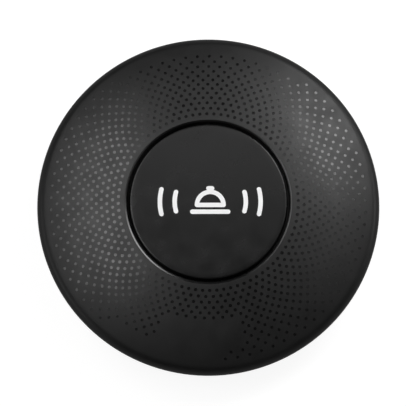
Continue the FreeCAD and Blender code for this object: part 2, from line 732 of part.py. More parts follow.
def wire_rim(centre, way, radius):
    # Six-sided section of the wire, square to the way the wire runs.
    side = way.cross(Vector(0, 0, 1))
    side.normalize()
    upward = side.cross(way)
    corners = []
    for step in range(WIRE_SIDE_COUNT + 1):
        angle = 2 * math.pi * step / WIRE_SIDE_COUNT
        across = side * (radius * math.cos(angle))
        corners.append(centre + across + upward * (radius * math.sin(angle)))
    return Part.makePolygon(corners)


def return_spring():
    wire_radius = value_of("Sizes.spring_wire_radius")
    free_height = value_of("Places.disc_level - Places.seat_level") - 2 * wire_radius
    edges, first_way = coil_edges(
        value_of("Sizes.spring_base_radius"), value_of("Sizes.spring_top_radius"),
        free_height, SPRING_TURN_COUNT)
    route = Part.Wire(edges)
    start = edges[0].valueAt(edges[0].FirstParameter)
    rim = wire_rim(start, first_way, wire_radius)
    sweep = Part.BRepOffsetAPI.MakePipeShell(route)
    sweep.add(rim)
    sweep.build()
    sweep.makeSolid()
    spring = document.addObject("Part::Feature", "return_spring")
    spring.Label = "return_spring"
    spring.Shape = sweep.shape()
    spring.Placement.Base = Vector(0, 0, value_of("Places.seat_level") + wire_radius)
    wound_parts["return_spring"] = spring


# Screws

def screw_ring(label, level, circle, degrees, count, head, shank, head_down):
    # The level is the seat of the head; the shank runs the other way. Head and shank are
    # (radius, length).
    body = new_body(label, level)
    across, along = turned(circle, degrees)
    head_feature = pad(body, "Head", disc(
        body, "HeadSketch", across, along, head[0]), head[1], down=head_down)
    shank_feature = pad(body, "Shank", disc(
        body, "ShankSketch", across, along, shank[0]), shank[1], down=not head_down)
    around(body, "Screws", [head_feature, shank_feature], count)


SMALL_HEAD = ("Sizes.small_head_radius", "Sizes.small_head_height")


def frame_screws():
    screw_ring("frame_screws", "Places.frame_level", "Places.ear_circle", EAR_ANGLE, EAR_COUNT,
               SMALL_HEAD, ("Sizes.small_shank_radius", "Sizes.frame_screw_length"),
               head_down=True)


def board_screws():
    screw_ring("board_screws", "Places.board_top", "Places.board_screw_circle", EAR_ANGLE,
               EAR_COUNT, SMALL_HEAD, ("Sizes.small_shank_radius", "Sizes.board_screw_length"),
               head_down=False)


def case_screws():
    head_seat = "Places.base_level + Sizes.case_head_sink + Sizes.case_head_height"
    length = "Places.post_level + Sizes.screw_bite - (" + head_seat + ")"
    screw_ring("case_screws", head_seat, "Places.post_circle", 0.0, SCREW_COUNT,
               ("Sizes.case_head_radius", "Sizes.case_head_height"),
               ("Sizes.case_shank_radius", length), head_down=True)


# Circuit board with its parts

def circuit_board():
    body = new_body("circuit_board", "Places.board_level")
    pad(body, "Board", disc(body, "BoardSketch", "0", "0", "Places.board_radius"),
        "Sizes.board_thickness")
    across, along = turned("Places.board_screw_circle", EAR_ANGLE)
    hole = pocket(body, "ScrewHole", disc(
        body, "ScrewHoleSketch", across, along,
        "Sizes.small_shank_radius + 2 * Sizes.thread_play"), "2 * Sizes.board_thickness")
    around(body, "ScrewHoles", [hole], EAR_COUNT)


def switch_body():
    body = new_body("switch_body", "Places.board_top")
    half = "0.5 * Sizes.switch_size"
    side = half + " - Sizes.switch_plate"
    height = "Sizes.switch_height - Sizes.switch_plate"
    pad(body, "Housing", box_outline(
        body, "HousingSketch", "-" + half, half, "-(" + side + ")", side), height)
    pocket(body, "PlungerWell", disc(
        body, "PlungerWellSketch", "0", "0", "Sizes.plunger_radius + 2 * Sizes.switch_travel",
        lift=height), "4 * Sizes.switch_travel", up=False)


def switch_cover():
    body = new_body("switch_cover", "Places.switch_top")
    half = "0.5 * Sizes.switch_size"
    sheet = "Sizes.switch_plate"
    inner = half + " - " + sheet
    foot = "-" + sheet + " - Sizes.switch_flap"
    pad(body, "FoldedPlate", outline(body, "FoldSketch", [
        ("-" + half, foot),
        ("-(" + inner + ")", foot),
        ("-(" + inner + ")", "-" + sheet),
        (inner, "-" + sheet),
        (inner, foot),
        (half, foot),
        (half, "0"),
        ("-" + half, "0"),
    ], role="YZ_Plane"), "Sizes.switch_size", both_ways=True)
    pocket(body, "PlungerHole", disc(
        body, "PlungerHoleSketch", "0", "0", "Sizes.plunger_radius + 0.5 * Sizes.switch_travel"),
        "2 * " + sheet, up=False)


def switch_plunger():
    body = new_body("switch_plunger", "Places.switch_top")
    flange = "Sizes.plunger_radius + Sizes.switch_travel"
    flange_top = "-Sizes.switch_plate - Sizes.thread_play"
    flange_foot = flange_top + " - 2 * Sizes.switch_travel"
    revolve(body, "Plunger", outline(body, "PlungerSection", [
        ("0", flange_foot),
        (flange, flange_foot),
        (flange, flange_top),
        ("Sizes.plunger_radius", flange_top),
        ("Sizes.plunger_radius", "Sizes.plunger_proud"),
        ("0", "Sizes.plunger_proud"),
    ]))


def switch_leads():
    body = new_body("switch_leads", "Places.board_top")
    half = "0.5 * Sizes.switch_size"
    sheet = "Sizes.lead_thickness"
    reach = half + " + Sizes.lead_reach"
    root = "0.3 * Sizes.switch_height"
    inset = "0.25 * Sizes.switch_size"
    corners = [
        (half, root),
        (half + " + 0.4 * Sizes.lead_reach", root),
        (half + " + 0.4 * Sizes.lead_reach", sheet),
        (reach, sheet),
        (reach, "0"),
        (half + " + 0.4 * Sizes.lead_reach - " + sheet, "0"),
        (half + " + 0.4 * Sizes.lead_reach - " + sheet, root + " - " + sheet),
        (half, root + " - " + sheet),
    ]
    near = pad(body, "NearLead", outline(
        body, "NearLeadSketch", corners, lift=inset), "Sizes.lead_width", both_ways=True)
    far = pad(body, "FarLead", outline(
        body, "FarLeadSketch", corners, lift="-(" + inset + ")"), "Sizes.lead_width",
        both_ways=True)
    around(body, "Leads", [near, far], LEAD_SIDE_COUNT)


def board_block(body, name, x_middle, y_middle, length, width, height):
    x_half = "0.5 * " + length
    y_half = "0.5 * " + width
    return pad(body, name, box_outline(
        body, name + "Sketch", x_middle + " - " + x_half, x_middle + " + " + x_half,
        y_middle + " - " + y_half, y_middle + " + " + y_half), height)


def radio_chip():
    body = new_body("radio_chip", "Places.board_top")
    board_block(body, "Package", "2.4 * Sizes.chip_size", "-1.5 * Sizes.chip_size",
                "Sizes.chip_size", "Sizes.chip_size", "Sizes.chip_height")


def crystal_can():
    body = new_body("crystal_can", "Places.board_top")
    board_block(body, "Can", "4.0 * Sizes.crystal_length", "-0.2 * Sizes.crystal_length",
                "Sizes.crystal_length", "Sizes.crystal_width", "Sizes.crystal_height")


def chip_parts():
    body = new_body("chip_parts", "Places.board_top")
    rows = [
        ("PartOne", "3.0 * Sizes.part_length", "-8.0 * Sizes.part_length"),
        ("PartTwo", "5.0 * Sizes.part_length", "-7.0 * Sizes.part_length"),
        ("PartThree", "-5.5 * Sizes.part_length", "-4.0 * Sizes.part_length"),
        ("PartFour", "-7.5 * Sizes.part_length", "-4.0 * Sizes.part_length"),
        ("PartFive", "-7.0 * Sizes.part_length", "-2.0 * Sizes.part_length"),
        ("PartSix", "-4.0 * Sizes.part_length", "-8.0 * Sizes.part_length"),
        ("PartSeven", "-1.0 * Sizes.part_length", "-9.0 * Sizes.part_length"),
    ]
    for name, x_middle, y_middle in rows:
        board_block(body, name, x_middle, y_middle, "Sizes.part_length", "Sizes.part_width",
                    "Sizes.part_height")


def aerial_wire():
    # A bent wire above the board, its two ends soldered to it.
    body = new_body("aerial_wire", "Places.board_top")
    thin = "Sizes.aerial_wire_radius"
    middle = "Sizes.aerial_lift + " + thin
    section = [
        ("Places.aerial_radius - " + thin, middle),
        ("Places.aerial_radius - 0.5 * " + thin, middle + " - 0.866 * " + thin),
        ("Places.aerial_radius + 0.5 * " + thin, middle + " - 0.866 * " + thin),
        ("Places.aerial_radius + " + thin, middle),
        ("Places.aerial_radius + 0.5 * " + thin, middle + " + 0.866 * " + thin),
        ("Places.aerial_radius - 0.5 * " + thin, middle + " + 0.866 * " + thin),
    ]
    bend = revolve(body, "Bend", outline(body, "BendSection", section), AERIAL_SWEEP_ANGLE)
    way = 1 if bend.Shape.CenterOfMass.y > 0 else -1
    for name, degrees in (("LegOne", 0.0), ("LegTwo", way * AERIAL_SWEEP_ANGLE)):
        pad(body, name, turned_box(
            body, name + "Sketch", "Places.aerial_radius - 0.7 * " + thin,
            "Places.aerial_radius + 0.7 * " + thin, "1.4 * " + thin, degrees), middle)
    body.Placement.Rotation = FreeCAD.Rotation(Vector(0, 0, 1), AERIAL_START_ANGLE)


# Coin cell, contacts and battery door

def battery_can():
    body = new_body("battery_can", "Places.cell_level")
    wall = "Sizes.cell_wall"
    inner = "Sizes.cell_radius - " + wall
    crimp = "0.9 * Sizes.cell_height"
    revolve(body, "CanShell", outline(body, "CanSection", [
        ("0", "0"),
        ("Sizes.cell_radius", "0"),
        ("Sizes.cell_radius", crimp),
        (inner, crimp),
        (inner, wall),
        ("0", wall),
    ]))


def battery_seal():
    body = new_body("battery_seal", "Places.cell_level")
    outer = "Sizes.cell_radius - Sizes.cell_wall"
    inner = outer + " - Sizes.cell_seal"
    crimp = "0.9 * Sizes.cell_height"
    revolve(body, "Grommet", outline(body, "GrommetSection", [
        (inner, "Sizes.cell_wall"),
        (outer, "Sizes.cell_wall"),
        (outer, crimp),
        (inner, crimp),
    ]))


def battery_cap():
    body = new_body("battery_cap", "Places.cell_level")
    outer = "Sizes.cell_radius - Sizes.cell_wall - Sizes.cell_seal"
    top = "Sizes.cell_height"
    revolve(body, "CapDish", outline(body, "CapDishSection", [
        ("0", top),
        (outer + " - Sizes.cell_wall", top),
        (outer, top + " - Sizes.cell_wall"),
        (outer, "Sizes.cell_wall"),
        ("0", "Sizes.cell_wall"),
    ]))


def contact_negative():
    # Leaf spring below the board that presses on the middle of the cell.
    body = new_body("contact_negative", "Places.board_level")
    sheet = "Sizes.contact_sheet"
    rest = "-Sizes.contact_height"
    knee = "0.5 * Sizes.cell_radius"
    root = "0.65 * Sizes.cell_radius"
    pad(body, "Leaf", outline(body, "LeafSketch", [
        ("-0.2 * Sizes.cell_radius", rest),
        ("0.1 * Sizes.cell_radius", rest),
        (knee, "-" + sheet),
        (root + " + Sizes.contact_width", "-" + sheet),
        (root + " + Sizes.contact_width", "0"),
        (knee + " - " + sheet, "0"),
        ("0.1 * Sizes.cell_radius - " + sheet, rest + " + " + sheet),
        ("-0.2 * Sizes.cell_radius", rest + " + " + sheet),
    ]), "Sizes.contact_width", both_ways=True)
    body.Placement.Rotation = FreeCAD.Rotation(Vector(0, 0, 1), 90.0)


def contact_positive():
    # Angle below the board that presses on the side of the cell.
    body = new_body("contact_positive", "Places.board_level")
    sheet = "Sizes.contact_sheet"
    near = "Sizes.cell_radius + 0.5 * Sizes.cell_lift"
    foot = "-Sizes.contact_height - 0.5 * Sizes.cell_height"
    pad(body, "Angle", outline(body, "AngleSketch", [
        (near, foot),
        (near + " + " + sheet, foot),
        (near + " + " + sheet, "-" + sheet),
        (near + " + 0.6 * Sizes.contact_width", "-" + sheet),
        (near + " + 0.6 * Sizes.contact_width", "0"),
        (near, "0"),
    ]), "Sizes.contact_width", both_ways=True)


def battery_door():
    body = new_body("battery_door", "Places.base_level")
    sink = "Sizes.door_sink"
    plate_top = "Sizes.base_thickness - Sizes.ledge_thickness - Sizes.door_seal_height"
    floor = "Places.cell_level - Places.base_level - Sizes.door_floor_play"
    tab_foot = "Sizes.base_thickness + Sizes.door_tab_play"
    tab_top = tab_foot + " + Sizes.door_tab_height"
    cup = "Sizes.cell_radius + Sizes.door_cup_play"
    revolve(body, "DoorDish", outline(body, "DoorSection", [
        ("0", sink),
        ("Places.door_radius", sink),
        ("Places.door_radius", plate_top),
        ("Places.cup_radius", plate_top),
        ("Places.cup_radius", tab_top),
        (cup, tab_top),
        (cup, floor),
        ("0", floor),
    ]))
    tab = pad(body, "Tab", ring_sector(
        body, "TabSketch", "0.5 * (" + cup + " + Places.cup_radius)", "Places.tab_radius",
        0.0, TAB_HALF_ANGLE, tab_foot), "Sizes.door_tab_height")
    around(body, "Tabs", [tab], KEY_COUNT)
    pocket(body, "CoinSlot", box_outline(
        body, "CoinSlotSketch", "-0.5 * Sizes.slot_length", "0.5 * Sizes.slot_length",
        "-0.5 * Sizes.slot_width", "0.5 * Sizes.slot_width"), "Sizes.slot_depth + " + sink)


def door_seal():
    body = new_body("door_seal", "Places.base_level")
    foot = "Sizes.base_thickness - Sizes.ledge_thickness - Sizes.door_seal_height"
    top = "Sizes.base_thickness - Sizes.ledge_thickness"
    outer = "Places.door_radius - Sizes.door_seal_inset"
    revolve(body, "SealRing", outline(body, "SealSection", [
        (outer + " - Sizes.door_seal_width", foot),
        (outer, foot),
        (outer, top),
        (outer + " - Sizes.door_seal_width", top),
    ]))


# Build, check and write

def check_and_write():
    document.recompute()
    for item in document.Objects:
        if "Invalid" in item.State or "Error" in item.State:
            raise RuntimeError(item.Name + " failed: " + str(item.State))
    os.makedirs("parts", exist_ok=True)
    for label, item in list(bodies.items()) + list(wound_parts.items()):
        if item.Shape.isNull() or not item.Shape.isValid():
            raise RuntimeError(label + " has no valid shape")
    for label, item in list(bodies.items()) + list(wound_parts.items()):
        item.Shape.exportStep("parts/" + label + ".step")


def main():
    fill_sizes()
    fill_places()
    for build in (
            top_cover, bottom_cover, case_seal, rubber_feet, button_cap, key_diaphragm,
            clamp_frame, return_spring, frame_screws, board_screws, case_screws, circuit_board,
            switch_body, switch_cover, switch_plunger, switch_leads, radio_chip, crystal_can,
            chip_parts, aerial_wire, battery_can, battery_seal, battery_cap, contact_negative,
            contact_positive, battery_door, door_seal):
        build()
    check_and_write()


main()
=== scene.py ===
# %% [markdown]
# # A waiter call button, from CAD parts to a finished look
# The device is a low black dome with one large button. Its cover carries some eleven hundred
# small glossy dots. The CAD parts give every size and every joint, and this lesson dresses
# them: the pieces that show are modelled again with fine detail, the hidden ones keep their
# CAD shape and get a real finish.

import math

import bpy
from mathutils import Matrix, Vector


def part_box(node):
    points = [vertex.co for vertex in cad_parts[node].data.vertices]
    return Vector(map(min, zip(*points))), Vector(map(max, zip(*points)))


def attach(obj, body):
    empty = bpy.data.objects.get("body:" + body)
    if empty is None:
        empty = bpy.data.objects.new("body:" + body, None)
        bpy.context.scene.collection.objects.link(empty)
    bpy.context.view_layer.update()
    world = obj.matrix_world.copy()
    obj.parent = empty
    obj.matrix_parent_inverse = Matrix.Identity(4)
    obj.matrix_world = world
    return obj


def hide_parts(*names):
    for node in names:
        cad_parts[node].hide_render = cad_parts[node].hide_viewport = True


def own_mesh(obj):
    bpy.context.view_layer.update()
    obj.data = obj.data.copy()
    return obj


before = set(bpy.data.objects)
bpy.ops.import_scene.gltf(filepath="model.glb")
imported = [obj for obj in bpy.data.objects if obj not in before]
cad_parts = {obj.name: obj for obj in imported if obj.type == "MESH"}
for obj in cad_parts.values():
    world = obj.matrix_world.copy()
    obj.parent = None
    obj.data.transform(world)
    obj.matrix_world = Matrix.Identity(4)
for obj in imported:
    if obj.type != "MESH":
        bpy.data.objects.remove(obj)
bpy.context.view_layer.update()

# %% [markdown]
# ## Sizes
# Most sizes are read off the CAD parts, so the dressed part keeps their proportions. A CAD part
# is a cloud of points around the Z axis here, and the smallest and largest distance from that
# axis between two heights give its radii. The few arcs that the CAD sections are drawn with
# are named below, in millimetres, and turned into metres once.

# %% Read the main sizes
def mm(value):
    return value * 0.001


def radii(node, low, high):
    """Smallest and largest distance from the Z axis of a CAD part's points between two heights."""
    found = []
    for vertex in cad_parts[node].data.vertices:
        if low <= vertex.co.z <= high:
            found.append(vertex.co.xy.length)
    return min(found), max(found)


cover_low, cover_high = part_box("top_cover")
base_low, base_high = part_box("bottom_cover")
button_low, button_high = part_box("button_cap")
membrane_low, membrane_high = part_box("key_diaphragm")
spring_low, spring_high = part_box("return_spring")
door_low, door_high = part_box("battery_door")
screw_low, screw_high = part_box("case_screws")
foot_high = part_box("rubber_feet")[1]

body_radius = cover_high.x
parting_level = cover_low.z
button_crown = mm(0.2)
button_proud = mm(0.3)
lip_level = button_high.z - button_crown - button_proud
opening_radius = radii("top_cover", lip_level - mm(1.0), lip_level)[0]
button_radius = radii("button_cap", lip_level - mm(0.2), button_high.z)[1]
dome_radius = mm(128.0)
rim_radius = mm(2.57)
rim_inset = mm(1.8)
skirt_radius = mm(2.95)
skirt_height = mm(2.3)
shell_wall = mm(2.0)
widest_level = parting_level + skirt_height
dome_depth = math.sqrt(dome_radius ** 2 - opening_radius ** 2)
print("cover radius", body_radius, "opening", opening_radius, "button", button_radius)

# %% [markdown]
# ## Tools for turned pieces
# Nearly everything here is round, so most pieces are turned like on a lathe: one vertex is
# extruded along the half section, and the line is spun round the Z axis. The spin meets
# itself at the seam and at the axis, so doubles are merged there before the normals are
# made to face outwards. These helpers keep that order in one place.

# %% Helpers for selecting and turning
def edit_mesh(action=None):
    """Goes into edit mode and, if asked, selects or deselects everything there."""
    bpy.ops.object.mode_set(mode="EDIT")
    if action is not None:
        bpy.ops.mesh.select_all(action=action)


def leave_mesh():
    bpy.ops.object.mode_set(mode="OBJECT")


def select_whole():
    bpy.ops.mesh.select_all(action="SELECT")


def extrude(move):
    bpy.ops.mesh.extrude_region_move(TRANSFORM_OT_translate={"value": move})


def face_outwards():
    select_whole()
    bpy.ops.mesh.normals_make_consistent(inside=False)
    leave_mesh()


def smooth(degrees=30.0):
    """Smooths the active piece, apart from edges that are sharper than this."""
    bpy.ops.object.shade_smooth_by_angle(angle=math.radians(degrees))


def deselect():
    if bpy.context.mode != "OBJECT":
        leave_mesh()
    bpy.ops.object.select_all(action="DESELECT")


def take(piece):
    deselect()
    piece.select_set(True)
    bpy.context.view_layer.objects.active = piece


def added(name, add_shape, **settings):
    """A new piece from one of Blender's basic shapes."""
    deselect()
    add_shape(**settings)
    piece = bpy.context.active_object
    piece.name = name
    return piece


def arc(centre, radius, start, end, steps):
    """Section points on an arc. Angles in degrees: 0 points away from the axis, 90 up."""
    points = []
    for step in range(steps + 1):
        angle = math.radians(start + (end - start) * step / steps)
        across = centre[0] + radius * math.cos(angle)
        points.append((across, centre[1] + radius * math.sin(angle)))
    return points


def close_mesh(piece, smooth_angle=30.0):
    """Merges what meets, turns the faces outwards and smooths all but the sharp edges."""
    take(piece)
    edit_mesh("SELECT")
    bpy.ops.mesh.remove_doubles(threshold=mm(0.002))
    face_outwards()
    smooth(smooth_angle)


def lone_vertex(name, place):
    """A new piece of one selected vertex, in edit mode: a plane merged to its middle."""
    piece = added(name, bpy.ops.mesh.primitive_plane_add, size=mm(1.0), location=(0.0, 0.0, 0.0))
    piece.data.name = name
    edit_mesh()
    bpy.ops.mesh.select_mode(type="VERT")
    select_whole()
    bpy.ops.mesh.merge(type="CENTER")
    bpy.ops.transform.translate(value=place)
    return piece


def turned(name, section, steps, closed=False):
    """Turns a section of (radius, height) points once round the Z axis."""
    piece = lone_vertex(name, (section[0][0], 0.0, section[0][1]))
    route = section + section[:1] if closed else section
    for near, far in zip(route, route[1:]):
        move = (far[0] - near[0], 0.0, far[1] - near[1])
        extrude(move)
    select_whole()
    bpy.ops.mesh.spin(steps=steps, angle=2 * math.pi, center=(0, 0, 0), axis=(0, 0, 1))
    close_mesh(piece)
    return piece


def joined(name, pieces):
    """Joins pieces into the first one and names it."""
    take(pieces[0])
    for piece in pieces:
        piece.select_set(True)
    bpy.ops.object.join()
    pieces[0].name = name
    pieces[0].data.name = name
    return pieces[0]


def placed(piece, x=0.0, y=0.0, z=0.0, degrees=0.0):
    """Turns a piece's mesh about Z, then moves it."""
    turn = Matrix.Rotation(math.radians(degrees), 4, "Z")
    piece.data.transform(Matrix.Translation((x, y, z)) @ turn)
    return piece


def around(piece, count, start=0.0):
    """Copies of a mesh spread evenly round the Z axis, each with its own mesh, joined."""
    copies = []
    for number in range(count):
        copy = piece if number == count - 1 else piece.copy()
        if copy is not piece:
            copy.data = piece.data.copy()
            bpy.context.collection.objects.link(copy)
        copies.append((copy, start + 360.0 * (number + 1) / count))
    for copy, degrees in copies:
        copy.data.transform(Matrix.Rotation(math.radians(degrees), 4, "Z"))
    return joined(piece.name, [copy for copy, degrees in reversed(copies)])


def combined(piece, other, operation):
    """Adds another piece to this one, or cuts it out, with an applied Boolean modifier."""
    take(piece)
    bpy.ops.object.modifier_add(type="BOOLEAN")
    modifier = piece.modifiers[-1]
    modifier.operation = operation
    modifier.solver = "EXACT"
    modifier.object = other
    bpy.ops.object.modifier_apply(modifier=modifier.name)
    bpy.data.objects.remove(other)
    return piece


def block(name, low, high, degrees=0.0):
    """A box between two corners, turned about Z."""
    piece = added(name, bpy.ops.mesh.primitive_cube_add, size=1.0, location=(0.0, 0.0, 0.0))
    edit_mesh()
    bpy.ops.transform.resize(value=[high[axis] - low[axis] for axis in range(3)])
    middle = [(high[axis] + low[axis]) / 2 for axis in range(3)]
    bpy.ops.transform.translate(value=middle)
    leave_mesh()
    return placed(piece, degrees=degrees)


def report(piece):
    low = [min(vertex.co[axis] for vertex in piece.data.vertices) for axis in range(3)]
    high = [max(vertex.co[axis] for vertex in piece.data.vertices) for axis in range(3)]
    spans = " ".join(format(1000 * (high[axis] - low[axis]), ".2f") for axis in range(3))
    print(piece.name, len(piece.data.polygons), "faces,", spans, "mm")


# %% [markdown]
# ## Finishes
# Moulded plastic is never one flat colour. Spark-eroded moulds leave a fine grain, gloss
# drifts a little from flow and handling, and the dark pigment isn't perfectly even. Each
# finish is a Principled shader whose colour and roughness come from slow noise and whose
# bump comes from fine noise, all in Object coordinates so that the grain keeps its real
# size on every piece. Values that are the same everywhere sit on the shader's own sockets.
# The cover shines less towards its rim, where the mould's texture is coarser, so its sheen
# fades out there as in the photograph.

# %% Helpers for finishes
def new_finish(name):
    material = bpy.data.materials.new(name)
    material.use_nodes = True
    nodes = material.node_tree.nodes
    shader = nodes["Principled BSDF"]
    place = nodes.new("ShaderNodeTexCoord")
    return material, nodes, material.node_tree.links, shader, place


def noise(nodes, links, place, size, detail=3.0, stretch=None):
    """Noise whose features are about this size, in metres, in Object coordinates."""
    texture = nodes.new("ShaderNodeTexNoise")
    texture.inputs["Scale"].default_value = 1.0 / size
    texture.inputs["Detail"].default_value = detail
    source = place.outputs["Object"]
    if stretch is not None:
        mapping = nodes.new("ShaderNodeMapping")
        mapping.inputs["Scale"].default_value = stretch
        links.new(source, mapping.inputs["Vector"])
        source = mapping.outputs["Vector"]
    links.new(source, texture.inputs["Vector"])
    return texture.outputs["Fac"]


def between(nodes, links, source, low, high, spread=(0.35, 0.65)):
    """A value from low to high as the noise runs through its middle part."""
    scaled = nodes.new("ShaderNodeMapRange")
    scaled.inputs["From Min"].default_value = spread[0]
    scaled.inputs["From Max"].default_value = spread[1]
    scaled.inputs["To Min"].default_value = low
    scaled.inputs["To Max"].default_value = high
    links.new(source, scaled.inputs["Value"])
    return scaled.outputs["Result"]


def tinted(nodes, links, source, dark, light, spread=(0.35, 0.65)):
    ramp = nodes.new("ShaderNodeValToRGB")
    ramp.color_ramp.elements[0].position = spread[0]
    ramp.color_ramp.elements[0].color = (*dark, 1.0)
    ramp.color_ramp.elements[1].position = spread[1]
    ramp.color_ramp.elements[1].color = (*light, 1.0)
    links.new(source, ramp.inputs["Fac"])
    return ramp.outputs["Color"]


def bumped(nodes, links, shader, height, depth):
    bump = nodes.new("ShaderNodeBump")
    bump.inputs["Strength"].default_value = 1.0
    bump.inputs["Distance"].default_value = depth
    links.new(height, bump.inputs["Height"])
    links.new(bump.outputs["Normal"], shader.inputs["Normal"])


def maths(nodes, links, operation, first, second):
    """A maths node of two values, each of which is a socket or a number."""
    node = nodes.new("ShaderNodeMath")
    node.operation = operation
    for socket, value in zip(node.inputs, (first, second)):
        if isinstance(value, float):
            socket.default_value = value
        else:
            links.new(value, socket)
    return node.outputs["Value"]


def shade(colour, share):
    return tuple(part * share for part in colour)


def plastic(name, colour, roughness, grain=mm(0.16), depth=mm(0.004), drift=0.12):
    material, nodes, links, shader, place = new_finish(name)
    slow = noise(nodes, links, place, mm(9.0))
    links.new(tinted(nodes, links, slow, shade(colour, 1 - drift), shade(colour, 1 + drift)),
              shader.inputs["Base Color"])
    patches = noise(nodes, links, place, mm(4.0), detail=5.0)
    links.new(between(nodes, links, patches, roughness - 0.03, roughness + 0.03),
              shader.inputs["Roughness"])
    bumped(nodes, links, shader, noise(nodes, links, place, grain, detail=2.0), depth)
    shader.inputs["IOR"].default_value = 1.4
    return material


def metal(name, colour, roughness, brush=None, depth=mm(0.002)):
    material, nodes, links, shader, place = new_finish(name)
    shader.inputs["Metallic"].default_value = 1.0
    slow = noise(nodes, links, place, mm(3.0))
    links.new(tinted(nodes, links, slow, shade(colour, 0.86), colour), shader.inputs["Base Color"])
    fine = noise(nodes, links, place, mm(0.5), detail=4.0, stretch=brush)
    links.new(between(nodes, links, fine, roughness * 0.8, roughness * 1.3),
              shader.inputs["Roughness"])
    bumped(nodes, links, shader, fine, depth)
    return material


def rubber(name, colour, roughness, grain=mm(0.3), depth=mm(0.006)):
    material, nodes, links, shader, place = new_finish(name)
    dust = noise(nodes, links, place, mm(1.6), detail=6.0)
    links.new(tinted(nodes, links, dust, shade(colour, 0.85), shade(colour, 1.35), (0.4, 0.75)),
              shader.inputs["Base Color"])
    links.new(between(nodes, links, dust, roughness - 0.05, roughness + 0.05),
              shader.inputs["Roughness"])
    bumped(nodes, links, shader, noise(nodes, links, place, grain), depth)
    shader.inputs["Sheen Weight"].default_value = 0.08
    return material


def dress(piece, material):
    """Gives a piece one finish."""
    piece.data.materials.clear()
    piece.data.materials.append(material)
    return piece


def duller_outwards(material, near, far, level):
    """Lets the mirroring of a finish sink from the usual 0.5 to a level between two radii."""
    nodes = material.node_tree.nodes
    links = material.node_tree.links
    place = next(node for node in nodes if node.type == "TEX_COORD")
    flat = nodes.new("ShaderNodeVectorMath")
    flat.operation = "MULTIPLY"
    flat.inputs[1].default_value = (1.0, 1.0, 0.0)
    links.new(place.outputs["Object"], flat.inputs[0])
    radius = nodes.new("ShaderNodeVectorMath")
    radius.operation = "LENGTH"
    links.new(flat.outputs["Vector"], radius.inputs[0])
    links.new(between(nodes, links, radius.outputs["Value"], 0.5, level, (near, far)),
              nodes["Principled BSDF"].inputs["Specular IOR Level"])


cover_finish = plastic("cover matte plastic", (0.0065, 0.0065, 0.0065), 0.42)
duller_outwards(cover_finish, mm(30.0), mm(37.0), 0.375)
dot_finish = plastic("dot glossy plastic", (0.004, 0.004, 0.004), 0.22, depth=mm(0.0006))
button_finish = plastic("button satin plastic", (0.006, 0.006, 0.006), 0.25, depth=mm(0.0015))
base_finish = plastic("base matte plastic", (0.012, 0.012, 0.0125), 0.55, depth=mm(0.008))
print("plastics ready:", cover_finish.name, dot_finish.name, button_finish.name)

# %% [markdown]
# ## The dot field, laid out flat
# Each dot is a shallow pit with a flat glossy floor, moulded into the matte cover. The pits
# stand in fourteen rings of eighty, and every other ring is turned by half a step, so that
# the eye finds crossing spirals. A texture would look flat from the side, so the pits are
# real. One square cell with one pit is modelled, in cell units: the square reaches
# from -1 to 1 and its upper and lower sides have a middle point, because the next ring's
# corners land there. Array modifiers repeat it into a flat sheet of rings.

# %% Model one cell and repeat it
DOTS_PER_RING = 80
RING_COUNT = 14
DOT_SIDES = 12
pit_rim = 0.5
pit_floor = -0.25

dot_field = added("dot_field", bpy.ops.mesh.primitive_circle_add,
                  vertices=DOT_SIDES, radius=pit_rim, location=(0, 0, 0))
dot_field.data.materials.append(cover_finish)
dot_field.data.materials.append(dot_finish)
edit_mesh()
bpy.ops.mesh.primitive_plane_add(size=2.0, location=(0, 0, 0))
bpy.ops.mesh.delete(type="ONLY_FACE")
bpy.ops.mesh.select_all(action="DESELECT")
leave_mesh()


def select_edges(piece, wanted):
    """Selects the edges whose two end points both pass a test, then returns to edit mode."""
    take(piece)
    points = piece.data.vertices
    for item in (*piece.data.polygons, *points):
        item.select = False
    for edge in piece.data.edges:
        edge.select = all(wanted(points[index].co) for index in edge.vertices)
        if edge.select:
            for index in edge.vertices:
                points[index].select = True
    edit_mesh()
    bpy.ops.mesh.select_mode(type="EDGE")


edit_mesh()
bpy.ops.mesh.select_mode(type="EDGE")
for side in (-1.0, 1.0):
    leave_mesh()
    select_edges(dot_field, lambda point: abs(point.y - side) < 0.01)
    bpy.ops.mesh.subdivide(number_cuts=1)
select_whole()
bpy.ops.mesh.bridge_edge_loops()
leave_mesh()
select_edges(dot_field, lambda point: point.length < pit_rim * 1.1)
extrude((0.0, 0.0, pit_floor))
bpy.ops.mesh.edge_face_add()
dot_field.active_material_index = 1
bpy.ops.object.material_slot_assign()
leave_mesh()
report(dot_field)


def repeated(piece, count, offset):
    take(piece)
    bpy.ops.object.modifier_add(type="ARRAY")
    modifier = piece.modifiers[-1]
    modifier.count = count
    modifier.use_relative_offset = False
    modifier.use_constant_offset = True
    modifier.constant_offset_displace = offset
    modifier.use_merge_vertices = True
    modifier.merge_threshold = 0.001
    bpy.ops.object.modifier_apply(modifier=modifier.name)


repeated(dot_field, DOTS_PER_RING, (2.0, 0.0, 0.0))
take(dot_field)
edit_mesh("SELECT")
bpy.ops.mesh.duplicate_move(TRANSFORM_OT_translate={"value": (1.0, 2.0, 0.0)})
select_whole()
bpy.ops.mesh.remove_doubles(threshold=0.001)
leave_mesh()
repeated(dot_field, RING_COUNT // 2, (0.0, 4.0, 0.0))
report(dot_field)

# %% [markdown]
# ## The dot field, bent onto the dome
# Now the flat sheet becomes a ring. A corner of a cell goes to its angle and to the radius
# halfway between two rings. A point of a pit keeps its true distance from the pit's middle,
# so the pits stay round although the cells get wider outwards. They shrink from ring to ring
# towards the rim, and the rings stand a little closer together in the middle of the field
# than at its edges, as on the real cover. Each ring is also turned back by a trifle against
# the one inside it, which gives the crossing lines of dots their slight swirl. One stretch
# towards the user stays bare: there a name would be printed, and none is put here. The
# rings below it stay bare too, and so does the far part of the last ring. Pits there get no
# depth, and merging closes them.

